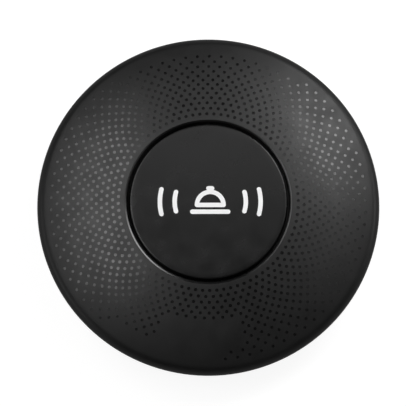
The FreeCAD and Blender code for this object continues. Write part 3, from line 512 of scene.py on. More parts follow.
# %% Bend the sheet onto the dome
first_ring = mm(21.0)
last_ring = mm(36.75)
ring_bunching = 0.14
first_dot = mm(0.4)
last_dot = mm(0.35)
pit_depth = mm(0.06)
half_step = math.pi / DOTS_PER_RING
bare_angles = (math.radians(250.5), math.radians(286.5))
bare_radii = (mm(28.2), mm(34.2))
below_name = (math.radians(232.0), math.radians(276.0))
open_back = (math.radians(54.0), math.radians(128.0))
field_turn = math.radians(0.9)
field_lag = math.radians(1.4)


def dome_height(radius):
    return lip_level - dome_depth + math.sqrt(dome_radius ** 2 - radius ** 2)


def ring_place(number):
    """Radius of a ring of dots; halves give the circles between two rings."""
    share = number / (RING_COUNT - 1)
    eased = share + ring_bunching * math.sin(2 * math.pi * share) / (2 * math.pi)
    return first_ring + (last_ring - first_ring) * eased


field_inner = ring_place(-0.5)
field_outer = ring_place(RING_COUNT - 0.5)


def lag(radius):
    """Angle by which a ring stays behind; the sheet's own two edges keep their places."""
    if not first_ring < radius < field_outer:
        return 0.0
    return field_lag * (radius - first_ring) / (last_ring - first_ring)


def is_bare(radius, angle):
    """Takes the angle that a place had before its ring was turned back."""
    turned_angle = (angle + field_turn) % (2 * math.pi)
    if radius > ring_place(RING_COUNT - 1.5) and open_back[0] < turned_angle < open_back[1]:
        return True
    if radius > bare_radii[1]:
        return below_name[0] < turned_angle < below_name[1]
    return radius > bare_radii[0] and bare_angles[0] < turned_angle < bare_angles[1]


for vertex in dot_field.data.vertices:
    x, y, z = vertex.co
    ring = round(y / 2)
    if abs(y - 2 * ring) > 0.9:
        radius = ring_place((y - 1) / 2 + 0.5)
        angle = x * half_step - lag(radius)
        vertex.co = (radius * math.cos(angle), radius * math.sin(angle), dome_height(radius))
    else:
        shift = ring % 2
        middle = 2 * round((x - shift) / 2) + shift
        angle = middle * half_step
        radius = ring_place(ring)
        dot_radius = first_dot + (last_dot - first_dot) * ring / (RING_COUNT - 1)
        bare = is_bare(radius, angle)
        angle -= lag(radius)
        outward = Vector((math.cos(angle), math.sin(angle), 0.0))
        sideways = Vector((-math.sin(angle), math.cos(angle), 0.0))
        spot = outward * (radius + (y - 2 * ring) / pit_rim * dot_radius)
        spot += sideways * ((x - middle) / pit_rim * dot_radius)
        spot.z = dome_height(spot.length)
        if z < 0.0 and not bare:
            spot.z -= pit_depth
        vertex.co = spot
for face in dot_field.data.polygons:
    middle = face.center
    angle = math.atan2(middle.y, middle.x) + lag(middle.xy.length)
    if face.material_index == 1 and is_bare(middle.xy.length, angle):
        face.material_index = 0
print("dot field from", field_inner, "to", field_outer, "m")
report(dot_field)

# %% [markdown]
# ## The cover around the dot field
# The rest of the cover is one turned skin: out over the rim, down the skirt to the joint,
# back along the inside past the ring that clamps the membrane, and up the opening to its
# lip. The lip is a narrow polished slope that tips towards the button. That slope is why
# the photograph has a thin bright line on one side of the gap only. The section is spun in
# twice as many steps as a ring has dots, so its first and last circles land on the field's
# corners and the two merge into one closed shell.

# %% Turn the rest of the cover and close it
joint_radius = body_radius - mm(2.4)
joint_depth = mm(1.8)
ring_inner = button_radius + mm(3.6)
ring_outer = ring_inner + mm(2.5)
clamp_level = membrane_low.z + mm(0.5)
shoulder_level = button_low.z + mm(1.15)
rim_centre = (body_radius - rim_radius, widest_level)
skirt_centre = (body_radius - skirt_radius, widest_level)
dome_start = body_radius - rim_inset
rim_angle = math.degrees(math.acos((dome_start - rim_centre[0]) / rim_radius))
skirt_angle = math.degrees(math.asin(skirt_height / skirt_radius))
parting_radius = skirt_centre[0] + skirt_radius * math.cos(math.radians(skirt_angle))

cover_section = [(field_outer, dome_height(field_outer))]
cover_section += arc(rim_centre, rim_radius, rim_angle, 0.0, 9)
cover_section += arc(skirt_centre, skirt_radius, 0.0, -skirt_angle, 7)[1:-1]
cover_section += arc((parting_radius - mm(0.12), parting_level + mm(0.2)), mm(0.2),
                     -25.0, -90.0, 3)
inside_start = joint_radius - 0.35 * shell_wall
cover_section += [
    (joint_radius, parting_level),
    (joint_radius, parting_level + joint_depth),
    (inside_start, dome_height(dome_start) - shell_wall),
]
for share in (0.25, 0.5, 0.75, 1.0):
    radius = inside_start + (ring_outer - inside_start) * share
    cover_section.append((radius, dome_height(radius) - shell_wall))
cover_section += [
    (ring_outer, clamp_level),
    (ring_inner, clamp_level),
    (ring_inner, shoulder_level),
    (opening_radius, shoulder_level),
]
lip_width = mm(0.46)
lip_tilt = 108.5
lip_blend = mm(0.1)
lip_edge = mm(0.1)
lip_out = opening_radius + lip_width
dome_tilt = 90.0 - math.degrees(math.asin(lip_out / dome_radius))
blend_centre = (lip_out - lip_blend * math.cos(math.radians(dome_tilt)),
                dome_height(lip_out) - lip_blend * math.sin(math.radians(dome_tilt)))
blend = arc(blend_centre, lip_blend, lip_tilt, dome_tilt, 5)
edge_across = opening_radius + lip_edge * (1 + math.cos(math.radians(lip_tilt)))
edge_height = blend[0][1] - (blend[0][0] - edge_across) * math.tan(math.radians(lip_tilt - 90))
edge_centre = (opening_radius + lip_edge,
               edge_height - lip_edge * math.sin(math.radians(lip_tilt)))
cover_section += arc(edge_centre, lip_edge, 180.0, lip_tilt, 5) + blend
cover_section.append((field_inner, dome_height(field_inner)))

cover_skin = turned("cover_skin", cover_section, 2 * DOTS_PER_RING)
dress(cover_skin, cover_finish)
cover_shell = joined("cover_shell", [dot_field, cover_skin])
close_mesh(cover_shell)
lip_foot = edge_centre[1] - lip_edge
for face in cover_shell.data.polygons:
    if face.center.z > lip_foot and face.center.xy.length < lip_out:
        face.material_index = 1
placed(cover_shell, degrees=math.degrees(field_turn))
report(cover_shell)

# %% [markdown]
# ## Bosses and keys inside the cover
# Four screw bosses take the case screws, three smaller ones hold the clamp frame, and three
# keys stop the button from turning. They are moulded in one piece with the cover. A boss is a
# short tube, so it is turned as a closed section and copied round the axis. They only have
# to reach into the wall, where nobody sees them cross it.

# %% Add the bosses and the keys
head_radius = mm(2.0)
case_circle = screw_high.x - head_radius
ear_circle = ring_outer + mm(2.4)
case_boss_foot = parting_level + mm(0.3)
ear_angle = 15.0
key_angle = 90.0
edge_chamfer = mm(0.15)
case_post_radius = mm(2.3)
small_bore = mm(0.95)


def tube(name, outer, bore, foot, top, depth, steps=40):
    """A post with a blind hole in its foot."""
    return turned(name, [
        (0.0, foot + depth), (bore, foot + depth), (bore, foot), (outer - edge_chamfer, foot),
        (outer, foot + edge_chamfer), (outer, top), (0.0, top)], steps)


case_boss = tube("case_boss", case_post_radius, mm(1.25), case_boss_foot,
                 dome_height(case_circle) - 0.5 * shell_wall, mm(3.55))
case_bosses = around(placed(case_boss, case_circle), 4)
ear_boss = tube("ear_boss", mm(2.2), small_bore, membrane_low.z,
                dome_height(ear_circle) - 0.5 * shell_wall, mm(2.25))
ear_bosses = around(placed(ear_boss, ear_circle), 3, start=ear_angle)

key = block("key", (button_radius + mm(1.7), mm(-1.0), clamp_level + mm(0.2)),
            (ring_inner + mm(0.5), mm(1.0), clamp_level + mm(2.6)))
edit_mesh("SELECT")
bpy.ops.mesh.bevel(offset=edge_chamfer, segments=2, affect="EDGES")
leave_mesh()
keys = around(key, 3, start=key_angle)
for piece in (case_bosses, ear_bosses, keys):
    dress(piece, cover_finish)
cover_shell = joined("cover_shell", [cover_shell, case_bosses, ear_bosses, keys])
smooth()
report(cover_shell)
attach(cover_shell, "housing")
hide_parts("top_cover")

# %% [markdown]
# ## The button
# The button is one thick moulded cap with a very slight crown, a small radius at its edge
# and a flange that keeps it in the housing. The crown is only a fifth of a millimetre, but
# it makes the sheen drift across the cap instead of switching on and off, so it is an arc
# with many rings. A middle hub presses on the membrane below, and ribs stiffen the cap. The
# print on top needs a hair of room under the highest CAD point, so the crown is lowered by
# that much.

# %% Turn the button cap
print_rise = mm(0.02)
edge_round = mm(0.32)
flange_radius = button_radius + mm(2.4)
flange_top = button_low.z + mm(1.0)
deck_level = button_high.z - button_crown - mm(1.8)
hub_foot = membrane_high.z
hub_radius = mm(8.3)
cap_inner = button_radius - mm(1.8)


def crown_height(radius):
    share = radius / button_radius
    return button_high.z - print_rise * 1.5 - button_crown * share * share


crown_steps = 20
cap_section = []
for number in range(crown_steps + 1):
    radius = (button_radius - edge_round) * number / crown_steps
    cap_section.append((radius, crown_height(radius)))
edge_level = crown_height(button_radius - edge_round) - edge_round
cap_section += arc((button_radius - edge_round, edge_level), edge_round, 90.0, 0.0, 6)[1:]
cap_section += arc((button_radius + mm(0.3), flange_top + mm(0.3)), mm(0.3), 180.0, 270.0, 3)
cap_section += [
    (flange_radius - edge_chamfer, flange_top),
    (flange_radius, flange_top - edge_chamfer),
    (flange_radius, button_low.z + edge_chamfer),
    (flange_radius - edge_chamfer, button_low.z),
    (cap_inner, button_low.z),
    (cap_inner, deck_level),
    (hub_radius, deck_level),
    (hub_radius, hub_foot + mm(0.2)),
    (hub_radius - mm(0.2), hub_foot),
    (0.0, hub_foot),
]
button_dome = turned("button_dome", cap_section, 128)

ribs = around(block("rib", (hub_radius - mm(0.5), mm(-0.5), deck_level - mm(1.045)),
                    (cap_inner + mm(0.5), mm(0.5), deck_level + mm(0.205))), 6)
notches = around(block(
    "notch", (flange_radius - mm(0.95), mm(-1.25), button_low.z - mm(1.5)),
    (ring_inner, mm(1.25), button_low.z + mm(1.5))), 3, start=key_angle)
combined(button_dome, notches, "DIFFERENCE")
button_dome = joined("button_dome", [button_dome, ribs])
smooth()
dress(button_dome, button_finish)
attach(button_dome, "button")
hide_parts("button_cap")
report(button_dome)

# %% [markdown]
# ## The sign on the button
# The real cap has a short white printed word. This part carries a service bell instead, a
# sign that belongs to nobody, drawn with the same line weight in the same place: an
# arched bell on its plate, a knob, and two sound arcs each side that keep the print as
# wide as the word. Every stroke is a strip spun round its own centre with half discs spun
# at its ends, because a pad printer's artwork has even lines with round ends.

# %% Draw the strokes and lay them on the crown
stroke_width = mm(1.05)
sign_place = (mm(0.45), mm(0.3))


def round_end(piece, middle, outer, half_turn):
    """Spins the edge between a line's middle and its outer side into a half disc."""
    near = stroke_width * 0.01
    select_edges(piece, lambda point: min(
        (point - middle).length, (point - outer).length) < near)
    bpy.ops.mesh.spin(steps=10, angle=half_turn, center=middle, axis=(0, 0, 1))
    leave_mesh()


def stroke(name, centre, radius, start, end, steps):
    """A line of even width along an arc, with round ends. Angles in degrees, 0 along +X."""
    piece = lone_vertex(name, (radius - stroke_width / 2, 0.0, 0.0))
    for part in range(2):
        move = (stroke_width / 2, 0.0, 0.0)
        extrude(move)
    select_whole()
    sweep = math.radians(end - start)
    bpy.ops.mesh.spin(steps=steps, angle=-sweep, center=(0, 0, 0), axis=(0, 0, 1))
    leave_mesh()
    for angle, side in ((0.0, -1.0), (sweep, 1.0)):
        middle = Vector((radius * math.cos(angle), radius * math.sin(angle), 0.0))
        outer = middle + Vector((math.cos(angle), math.sin(angle), 0.0)) * (stroke_width / 2)
        round_end(piece, middle, outer, -side * math.pi)
    piece.data.transform(Matrix.Rotation(math.radians(start), 4, "Z"))
    piece.data.transform(Matrix.Translation((centre[0], centre[1], 0.0)))
    return piece


def bar(name, centre, length, steps=12):
    """A straight line of even width with round ends."""
    piece = added(name, bpy.ops.mesh.primitive_grid_add,
                  x_subdivisions=steps, y_subdivisions=2, size=1.0)
    edit_mesh()
    straight = length - stroke_width
    bpy.ops.transform.resize(value=(straight, stroke_width, 1.0))
    leave_mesh()
    for side in (-1.0, 1.0):
        middle = Vector((side * straight / 2, 0.0, 0.0))
        outer = middle + Vector((0.0, stroke_width / 2, 0.0))
        round_end(piece, middle, outer, side * math.pi)
    piece.data.transform(Matrix.Translation((centre[0], centre[1], 0.0)))
    return piece


def raised(piece, rise=mm(0.1)):
    """Makes a flat stroke a thin closed plate."""
    take(piece)
    edit_mesh("SELECT")
    bpy.ops.mesh.remove_doubles(threshold=mm(0.01))
    extrude((0.0, 0.0, rise))
    face_outwards()
    return piece


bell_radius = mm(3.1)
bell_foot = mm(-1.15)
bell = raised(stroke("bell", (0.0, bell_foot), bell_radius, 0.0, 180.0, 36))
foot_line = raised(bar("foot_line", (0.0, bell_foot), 2 * bell_radius + mm(0.4)))
knob = raised(bar("knob", (0.0, bell_foot + bell_radius + mm(0.85)), mm(1.9), steps=4))
combined(bell, foot_line, "UNION")
combined(bell, knob, "UNION")
strokes = [bell, raised(bar("plate", (0.0, bell_foot - mm(1.6)), mm(9.4)))]
for side, middle_angle in (("right", 0.0), ("left", 180.0)):
    for reach, half_angle in ((mm(8.3), 16.0), (mm(11.75), 14.5)):
        strokes.append(raised(stroke(
            "sound_" + side, (0.0, mm(-0.35)), reach,
            middle_angle - half_angle, middle_angle + half_angle, 14)))
bell_sign = joined("bell_sign", strokes)
placed(bell_sign, sign_place[0], sign_place[1])
for vertex in bell_sign.data.vertices:
    lift = print_rise if vertex.co.z > mm(0.05) else -print_rise
    vertex.co.z = crown_height(vertex.co.xy.length) + lift
sign_finish = plastic("white print", (0.86, 0.86, 0.86), 0.5, depth=mm(0.001), drift=0.03)
dress(bell_sign, sign_finish)
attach(bell_sign, "button")
report(bell_sign)

# %% [markdown]
# ## The membrane and the return spring
# Under the button a silicone membrane keeps spilt drinks out. Its middle is thick and rides
# on the button, and a soft step leads down to the part that is clamped. A conical wire
# spring pushes it back up. Both bend in life; here each later gets a mesh of its own, and
# neither is squashed.

# %% Turn the membrane and wind the spring
disc_radius = mm(8.6)
knee_radius = mm(14.0)
web = mm(0.5)
disc_foot = membrane_high.z - mm(0.8)
membrane_edge = membrane_high.x


def soft_step(share):
    return share * share * (3 - 2 * share)


def web_line(lift, steps=10):
    points = []
    for number in range(steps + 1):
        share = number / steps
        radius = disc_radius + (knee_radius - disc_radius) * share
        level = disc_foot + (membrane_low.z - disc_foot) * soft_step(share)
        points.append((radius, level + lift))
    return points


membrane_section = [(0.0, disc_foot)] + web_line(0.0)
membrane_section += [(membrane_edge, membrane_low.z), (membrane_edge, membrane_low.z + web)]
membrane_section += list(reversed(web_line(web)))
membrane_section += [
    (disc_radius, membrane_high.z - mm(0.1)),
    (disc_radius - mm(0.1), membrane_high.z),
    (0.0, membrane_high.z),
]
membrane = turned("membrane", membrane_section, 96)
silicone = rubber("grey silicone", (0.16, 0.165, 0.17), 0.42)
silicone.node_tree.nodes["Principled BSDF"].inputs["Subsurface Weight"].default_value = 0.1
dress(membrane, silicone)
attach(membrane, "housing")
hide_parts("key_diaphragm")
report(membrane)

wire_radius = mm(0.22)
coil_base = mm(9.4)
coil_top = mm(6.6)
coil_turns = 3
coil_points = 72
route = bpy.data.curves.new("return_spring_wire", "CURVE")
route.dimensions = "3D"
line = route.splines.new("POLY")
line.points.add(coil_points)
coil_low = spring_low.z + wire_radius
coil_high = spring_high.z - wire_radius
for number in range(coil_points + 1):
    share = number / coil_points
    angle = 2 * math.pi * coil_turns * share
    radius = coil_base + (coil_top - coil_base) * share
    level = coil_low + (coil_high - coil_low) * share
    line.points[number].co = (radius * math.cos(angle), radius * math.sin(angle), level, 1.0)
route.bevel_depth = wire_radius
route.bevel_resolution = 3
route.use_fill_caps = True
coil = bpy.data.objects.new("coil", route)
bpy.context.collection.objects.link(coil)
take(coil)
bpy.ops.object.convert(target="MESH")
coil = bpy.context.active_object
close_mesh(coil, smooth_angle=50.0)
spring_finish = metal("spring wire", (0.55, 0.55, 0.56), 0.25)
dress(coil, spring_finish)
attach(coil, "housing")
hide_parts("return_spring")
report(coil)

# %% [markdown]
# ## The lower shell
# From the side the lower shell flares out to the joint and is rounded at its foot. From
# below it shows a moulded plate with the battery door in the middle, four screw wells and
# four foot recesses. It is turned like the cover. The battery bay, the posts and the ribs
# are added with Boolean unions, and the wells and bores are cut out one kind after another,
# because they cross walls and posts and would be slow to bridge by hand.

# %% Turn the lower shell
base_level = base_low.z
floor_level = base_level + mm(2.2)
ledge_level = base_level + mm(1.1)
board_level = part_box("circuit_board")[0].z
door_radius = door_high.x
cup_radius = mm(11.6)
bore_radius = cup_radius + mm(0.2)
tab_radius = cup_radius + mm(1.3)
bay_radius = tab_radius + mm(0.5)
bay_outer = bay_radius + mm(1.5)
base_radius = parting_radius - mm(3.0)
seal_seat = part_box("case_seal")[0].z
tongue_radius = joint_radius - mm(0.1)
tongue_inner = tongue_radius - mm(1.2)
foot_round = mm(1.0)

base_section = [
    (bore_radius, ledge_level),
    (door_radius + mm(0.2), ledge_level),
    (door_radius + mm(0.2), base_level + mm(0.2)),
    (door_radius + mm(0.4), base_level),
]
base_section += arc((base_radius - foot_round, base_level + foot_round), foot_round,
                    -90.0, -22.0, 6)
base_section += arc((parting_radius - mm(0.4), seal_seat - mm(0.2)), mm(0.2), -20.0, 90.0, 4)
base_section += [
    (tongue_radius, seal_seat),
    (tongue_radius, base_high.z - mm(0.2)),
    (tongue_radius - mm(0.2), base_high.z),
    (tongue_inner, base_high.z),
    (tongue_inner, seal_seat - mm(1.2)),
    (base_radius - mm(0.9), floor_level),
    (bore_radius, floor_level),
]
base_shell = turned("base_shell", base_section, 128, closed=True)
report(base_shell)

# %% Add the bay, the posts and the ribs
standoff_circle = mm(21.2)
wall_foot = floor_level - mm(0.2)


def square_ring(name, inner, outer, foot, top, steps):
    section = [(inner, foot), (outer, foot), (outer, top), (inner, top)]
    return turned(name, section, steps, closed=True)


def solid_post(name, radius, foot, top, x, steps=40):
    post = turned(name, [(0.0, foot), (radius, foot), (radius, top), (0.0, top)], steps)
    return placed(post, x)


bay = square_ring("bay", bay_radius, bay_outer, wall_foot, board_level, 96)
posts = around(solid_post("posts", case_post_radius, wall_foot, case_boss_foot, case_circle), 4)
standoffs = around(solid_post("standoffs", mm(2.0), wall_foot, board_level, standoff_circle),
                   3, start=ear_angle)
bay_ribs = around(block("bay_ribs", (mm(10.2), mm(-0.6), floor_level + mm(1.7)),
                        (bay_radius + mm(0.75), mm(0.6), floor_level + mm(3.2))), 3, start=60.0)
for inner in (bay, posts, standoffs, bay_ribs):
    combined(base_shell, inner, "UNION")
report(base_shell)

# %% Cut the wells, the foot recesses and the bayonet entries
foot_radius = mm(4.0)
foot_circle = (foot_high.x - foot_radius) * math.sqrt(2.0)
cutters = [
    around(solid_post("well", mm(2.2), base_level - mm(1.0), base_level + mm(1.5), case_circle), 4),
    around(solid_post("passage", mm(1.4), base_level, parting_level + mm(2.0), case_circle), 4),
    around(solid_post("foot_well", foot_radius + mm(0.1), base_level - mm(1.0),
                      base_level + mm(0.6), foot_circle, steps=64), 4, start=45.0),
    around(solid_post("board_bore", small_bore, board_level - mm(2.65), board_level + mm(1.0),
                      standoff_circle, steps=24), 3, start=ear_angle),
]
for cutter in cutters:
    combined(base_shell, cutter, "DIFFERENCE")

entry = square_ring("entry", bore_radius - mm(0.3), tab_radius + mm(0.2),
                    ledge_level - mm(0.5), floor_level + mm(0.6), 90)
bayonet_angle = -40.0


def sliced(piece, half_angle):
    """Keeps the slice of a turned ring that lies this many degrees each side of +X."""
    take(piece)
    edit_mesh()
    for side in (-1.0, 1.0):
        select_whole()
        cut = math.radians(side * half_angle)
        normal = (-math.sin(cut), math.cos(cut), 0.0)
        bpy.ops.mesh.bisect(plane_co=(0, 0, 0), plane_no=normal, use_fill=True,
                            clear_inner=side < 0, clear_outer=side > 0)
    face_outwards()
    return piece


entries = around(sliced(entry, 14.0), 3, start=bayonet_angle)
combined(base_shell, entries, "DIFFERENCE")
stops = []
for degrees in (16.0, bayonet_angle - 17.5):
    stops.append(around(block("stop", (bore_radius + mm(0.1), mm(-0.6), floor_level - mm(0.1)),
                              (bay_radius + mm(0.75), mm(0.6), floor_level + mm(0.85))),
                        3, start=degrees))
base_shell = joined("base_shell", [base_shell] + stops)
close_mesh(base_shell)
report(base_shell)

# %% [markdown]
# ## Marks by the battery door
# Anyone changing the cell looks for where to turn the door. Moulded marks say it without
# words: a raised arrow head on the door, and beside it on the shell a filled dot where it is
# open and a ring where it is closed. They stand little more than a tenth of a millimetre
# proud, well above the feet, so the device still stands flat.

# %% Raise the open and closed marks
mark_circle = door_radius + mm(2.2)
mark_rise = mm(0.15)


def raised_mark(name, section, degrees):
    """A small turned mark, set on the circle of the marks at this angle."""
    mark = placed(turned(name, section, 24), mark_circle)
    return placed(mark, degrees=degrees)


mark_foot = base_level - mark_rise
mark_root = base_level + mm(0.1)
closed_mark = raised_mark("closed_mark", [
    (mm(0.45), mark_root), (mm(0.45), mark_foot), (mm(0.85), mark_foot), (mm(0.85), mark_root)],
    -90.0)
open_mark = raised_mark("open_mark", [
    (0.0, mark_foot), (mm(0.7), mark_foot), (mm(0.8), mark_root)], -90.0 + bayonet_angle)
base_shell = joined("base_shell", [base_shell, closed_mark, open_mark])
smooth()
dress(base_shell, base_finish)
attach(base_shell, "housing")
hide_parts("bottom_cover")
report(base_shell)

# %% [markdown]
# ## The battery door
# The door is a disc with a cup above it that carries the coin cell, and three tabs on the
# cup's wall that lock under the ledge. A coin turns it, so its slot is a rounded trough as
# wide as a coin is thick, with an eased rim. The door is turned, the slot is cut with a
# long box whose ends were rounded by a bevel, and the tabs are slices of a turned ring.

# %% Turn the door and cut its slot
door_foot = door_low.z
plate_top = ledge_level - mm(0.4)
cell_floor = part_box("battery_can")[0].z - mm(0.05)
cup_inner = mm(10.4)
cup_top = door_high.z
door_section = [(0.0, door_foot), (door_radius - mm(1.35), door_foot)]
door_section += arc((door_radius - mm(1.15), door_foot), mm(0.2), 180.0, 0.0, 5)
door_section += [
    (door_radius - mm(0.2), door_foot),
    (door_radius, door_foot + mm(0.2)),
    (door_radius, plate_top),
    (cup_radius, plate_top),
    (cup_radius, cup_top - edge_chamfer),
    (cup_radius - edge_chamfer, cup_top),
    (cup_inner, cup_top),
    (cup_inner, cell_floor),
    (0.0, cell_floor),
]
door_plate = turned("door_plate", door_section, 128)

slot_length = mm(12.0)
slot_width = mm(1.8)
slot_depth = mm(1.1)
slot_end_round = slot_width * 0.49
coin_slot = block("coin_slot", (-slot_length / 2, -slot_width / 2, door_foot - mm(1.0)),
                  (slot_length / 2, slot_width / 2, door_foot + slot_depth))
take(coin_slot)
edit_mesh()
bpy.ops.mesh.select_mode(type="EDGE")
bpy.ops.mesh.select_all(action="DESELECT")
leave_mesh()
for edge in coin_slot.data.edges:
    ends = [coin_slot.data.vertices[index].co for index in edge.vertices]
    edge.select = abs(ends[0].z - ends[1].z) > mm(0.5)
edit_mesh()
bpy.ops.mesh.bevel(offset=slot_end_round, segments=8, affect="EDGES")
leave_mesh()
combined(door_plate, coin_slot, "DIFFERENCE")

tab = turned("tab", [(cup_radius - mm(0.6), floor_level + mm(0.05)),
                     (tab_radius, floor_level + mm(0.05)),
                     (tab_radius, floor_level + mm(0.7)),
                     (tab_radius - mm(0.2), floor_level + mm(0.9)),
                     (cup_radius - mm(0.6), floor_level + mm(0.9))], 120, closed=True)
tabs = around(sliced(tab, 12.0), 3)

arrow_head = added("arrow_head", bpy.ops.mesh.primitive_circle_add,
                   vertices=3, radius=mm(1.0), fill_type="NGON")
edit_mesh()
extrude((0.0, 0.0, mm(0.2)))
face_outwards()
placed(arrow_head, degrees=180.0)
placed(arrow_head, 0.0, mm(-11.6), door_foot - mm(0.1))
door = joined("door", [door_plate, tabs, arrow_head])
smooth()
door_finish = plastic("door matte plastic", (0.016, 0.016, 0.0165), 0.5, depth=mm(0.006))
dress(door, door_finish)
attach(door, "door")
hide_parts("battery_door")
report(door)

# %% [markdown]
# ## Screws and feet
# The case screws are pan heads with a cross recess, sunk in their wells. One is turned and
# its recess cut with two crossed wedges, then it is copied to the four posts. The feet
# are soft rubber discs with a rounded edge and a faint ring moulded in their soles.

# %% Model one screw and one foot, then copy them
head_foot = screw_low.z
head_seat = head_foot + mm(1.2)
screw_section = [(0.0, head_foot), (head_radius - mm(0.8), head_foot)]
screw_section += arc((head_radius - mm(0.8), head_foot + mm(0.8)), mm(0.8), -90.0, 0.0, 6)[1:]
screw_section += [
    (head_radius, head_seat),
    (mm(1.2), head_seat),
    (mm(1.2), screw_high.z - mm(0.5)),
    (mm(0.7), screw_high.z),
    (0.0, screw_high.z),
]
case_screw = turned("case_screw", screw_section, 40)
wedge_taper = 0.55
for degrees in (45.0, 135.0):
    wedge = block("wedge", (mm(-1.25), mm(-0.26), head_foot - mm(0.5)),
                  (mm(1.25), mm(0.26), head_foot + mm(0.75)), degrees)
    for vertex in wedge.data.vertices:
        if vertex.co.z > head_foot:
            vertex.co.x *= wedge_taper
            vertex.co.y *= wedge_taper
    combined(case_screw, wedge, "DIFFERENCE")
placed(case_screw, case_circle)
case_screws = around(case_screw, 4)
smooth()
screw_finish = metal("zinc plated steel", (0.42, 0.42, 0.43), 0.3)
dress(case_screws, screw_finish)
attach(case_screws, "housing")
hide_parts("case_screws")
report(case_screws)

sole_round = mm(0.45)
foot_section = [(0.0, 0.0), (mm(2.3), 0.0)]
foot_section += arc((mm(2.5), 0.0), mm(0.2), 180.0, 0.0, 4)
foot_section += arc((foot_radius - sole_round, sole_round), sole_round, -90.0, 0.0, 5)
foot_section += [(foot_radius, foot_high.z), (0.0, foot_high.z)]
rubber_foot = turned("rubber_foot", foot_section, 64)
rubber_feet = around(placed(rubber_foot, foot_circle), 4, start=45.0)
foot_finish = rubber("foot rubber", (0.028, 0.028, 0.028), 0.72)
dress(rubber_feet, foot_finish)
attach(rubber_feet, "housing")
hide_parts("rubber_feet")
report(rubber_feet)

# %% [markdown]
# ## Finishes for the parts inside
# The hidden parts keep their CAD shape. Their finishes still tell what they are: a green
# board whose solder mask shows the copper tracks under it, tinned and gilded metal, black
# and ceramic chip packages, an enamelled copper aerial and a bright cell with its ring.

# %% Dress the inner CAD parts
def board_finish():
    material, nodes, links, shader, place = new_finish("solder mask with tracks")
    cells = nodes.new("ShaderNodeTexVoronoi")
    cells.feature = "DISTANCE_TO_EDGE"
    cells.inputs["Scale"].default_value = 1.0 / mm(3.2)
    links.new(place.outputs["Object"], cells.inputs["Vector"])
    tracks = between(nodes, links, cells.outputs["Distance"], 1.0, 0.0, (0.03, 0.08))
    links.new(tinted(nodes, links, tracks, (0.006, 0.075, 0.03), (0.02, 0.16, 0.06), (0.0, 1.0)),
              shader.inputs["Base Color"])
    fine = noise(nodes, links, place, mm(1.5))
    links.new(between(nodes, links, fine, 0.24, 0.34), shader.inputs["Roughness"])
    bumped(nodes, links, shader, tracks, mm(0.03))
    shader.inputs["Coat Weight"].default_value = 0.4
    shader.inputs["Coat Roughness"].default_value = 0.12
    return material


small_screw_finish = metal("blackened steel", (0.12, 0.12, 0.125), 0.35)
tin = metal("tinned sheet", (0.62, 0.62, 0.6), 0.28, brush=(1.0, 8.0, 1.0))
inner_finishes = {
    "clamp_frame": plastic("frame grey plastic", (0.1, 0.105, 0.11), 0.48),
    "frame_screws": small_screw_finish,
    "board_screws": small_screw_finish,
    "circuit_board": board_finish(),
    "switch_body": plastic("switch black plastic", (0.02, 0.02, 0.02), 0.5),
    "switch_cover": tin,
    "switch_plunger": plastic("plunger brown plastic", (0.035, 0.022, 0.015), 0.4),
    "switch_leads": tin,
    "radio_chip": plastic("chip package", (0.018, 0.018, 0.02), 0.62, depth=mm(0.01)),
    "crystal_can": metal("crystal can nickel", (0.68, 0.67, 0.62), 0.2),
    "chip_parts": plastic("chip ceramic", (0.28, 0.19, 0.11), 0.45),
    "aerial_wire": metal("enamelled copper", (0.55, 0.2, 0.08), 0.22),
    "battery_can": metal("cell can nickel", (0.66, 0.66, 0.64), 0.16),
    "battery_cap": metal("cell cap nickel", (0.6, 0.6, 0.59), 0.24, brush=(1.0, 6.0, 1.0)),
    "battery_seal": plastic("cell seal plastic", (0.5, 0.52, 0.56), 0.4),
    "contact_negative": metal("gilded bronze", (0.75, 0.5, 0.2), 0.2),
    "contact_positive": metal("gilded bronze angle", (0.73, 0.49, 0.2), 0.22),
    "door_seal": rubber("door seal rubber", (0.02, 0.02, 0.02), 0.6),
    "case_seal": rubber("case seal rubber", (0.014, 0.014, 0.014), 0.62),
}
for node, material in inner_finishes.items():
    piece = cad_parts[node]
    piece.data.materials.clear()
    piece.data.materials.append(material)
    take(piece)
    smooth()
print(len(inner_finishes), "CAD parts dressed")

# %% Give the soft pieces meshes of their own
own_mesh(coil)
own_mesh(membrane)

# %% [markdown]
# ## Floor and camera
# The picture is taken almost straight down, some eleven degrees towards the user. It shows
# hardly any perspective: the near and the far rim are equally wide, so the lens is very
# long and the camera stands three metres away. It is placed from that angle and from the
# width of the frame at the widest line of the body, and slid in its own plane so that the
# body sits as far from the middle of the frame as in the photograph. The floor is grey. Its
# own glow for camera rays lifts it to white without putting more light on the object, so
# the rim mirrors a dark table and the floor still takes a faint shadow.

# %% Place the floor and the camera
floor_grey = (0.2, 0.2, 0.2)
mirrored_share = 0.2
glow_level = 0.9


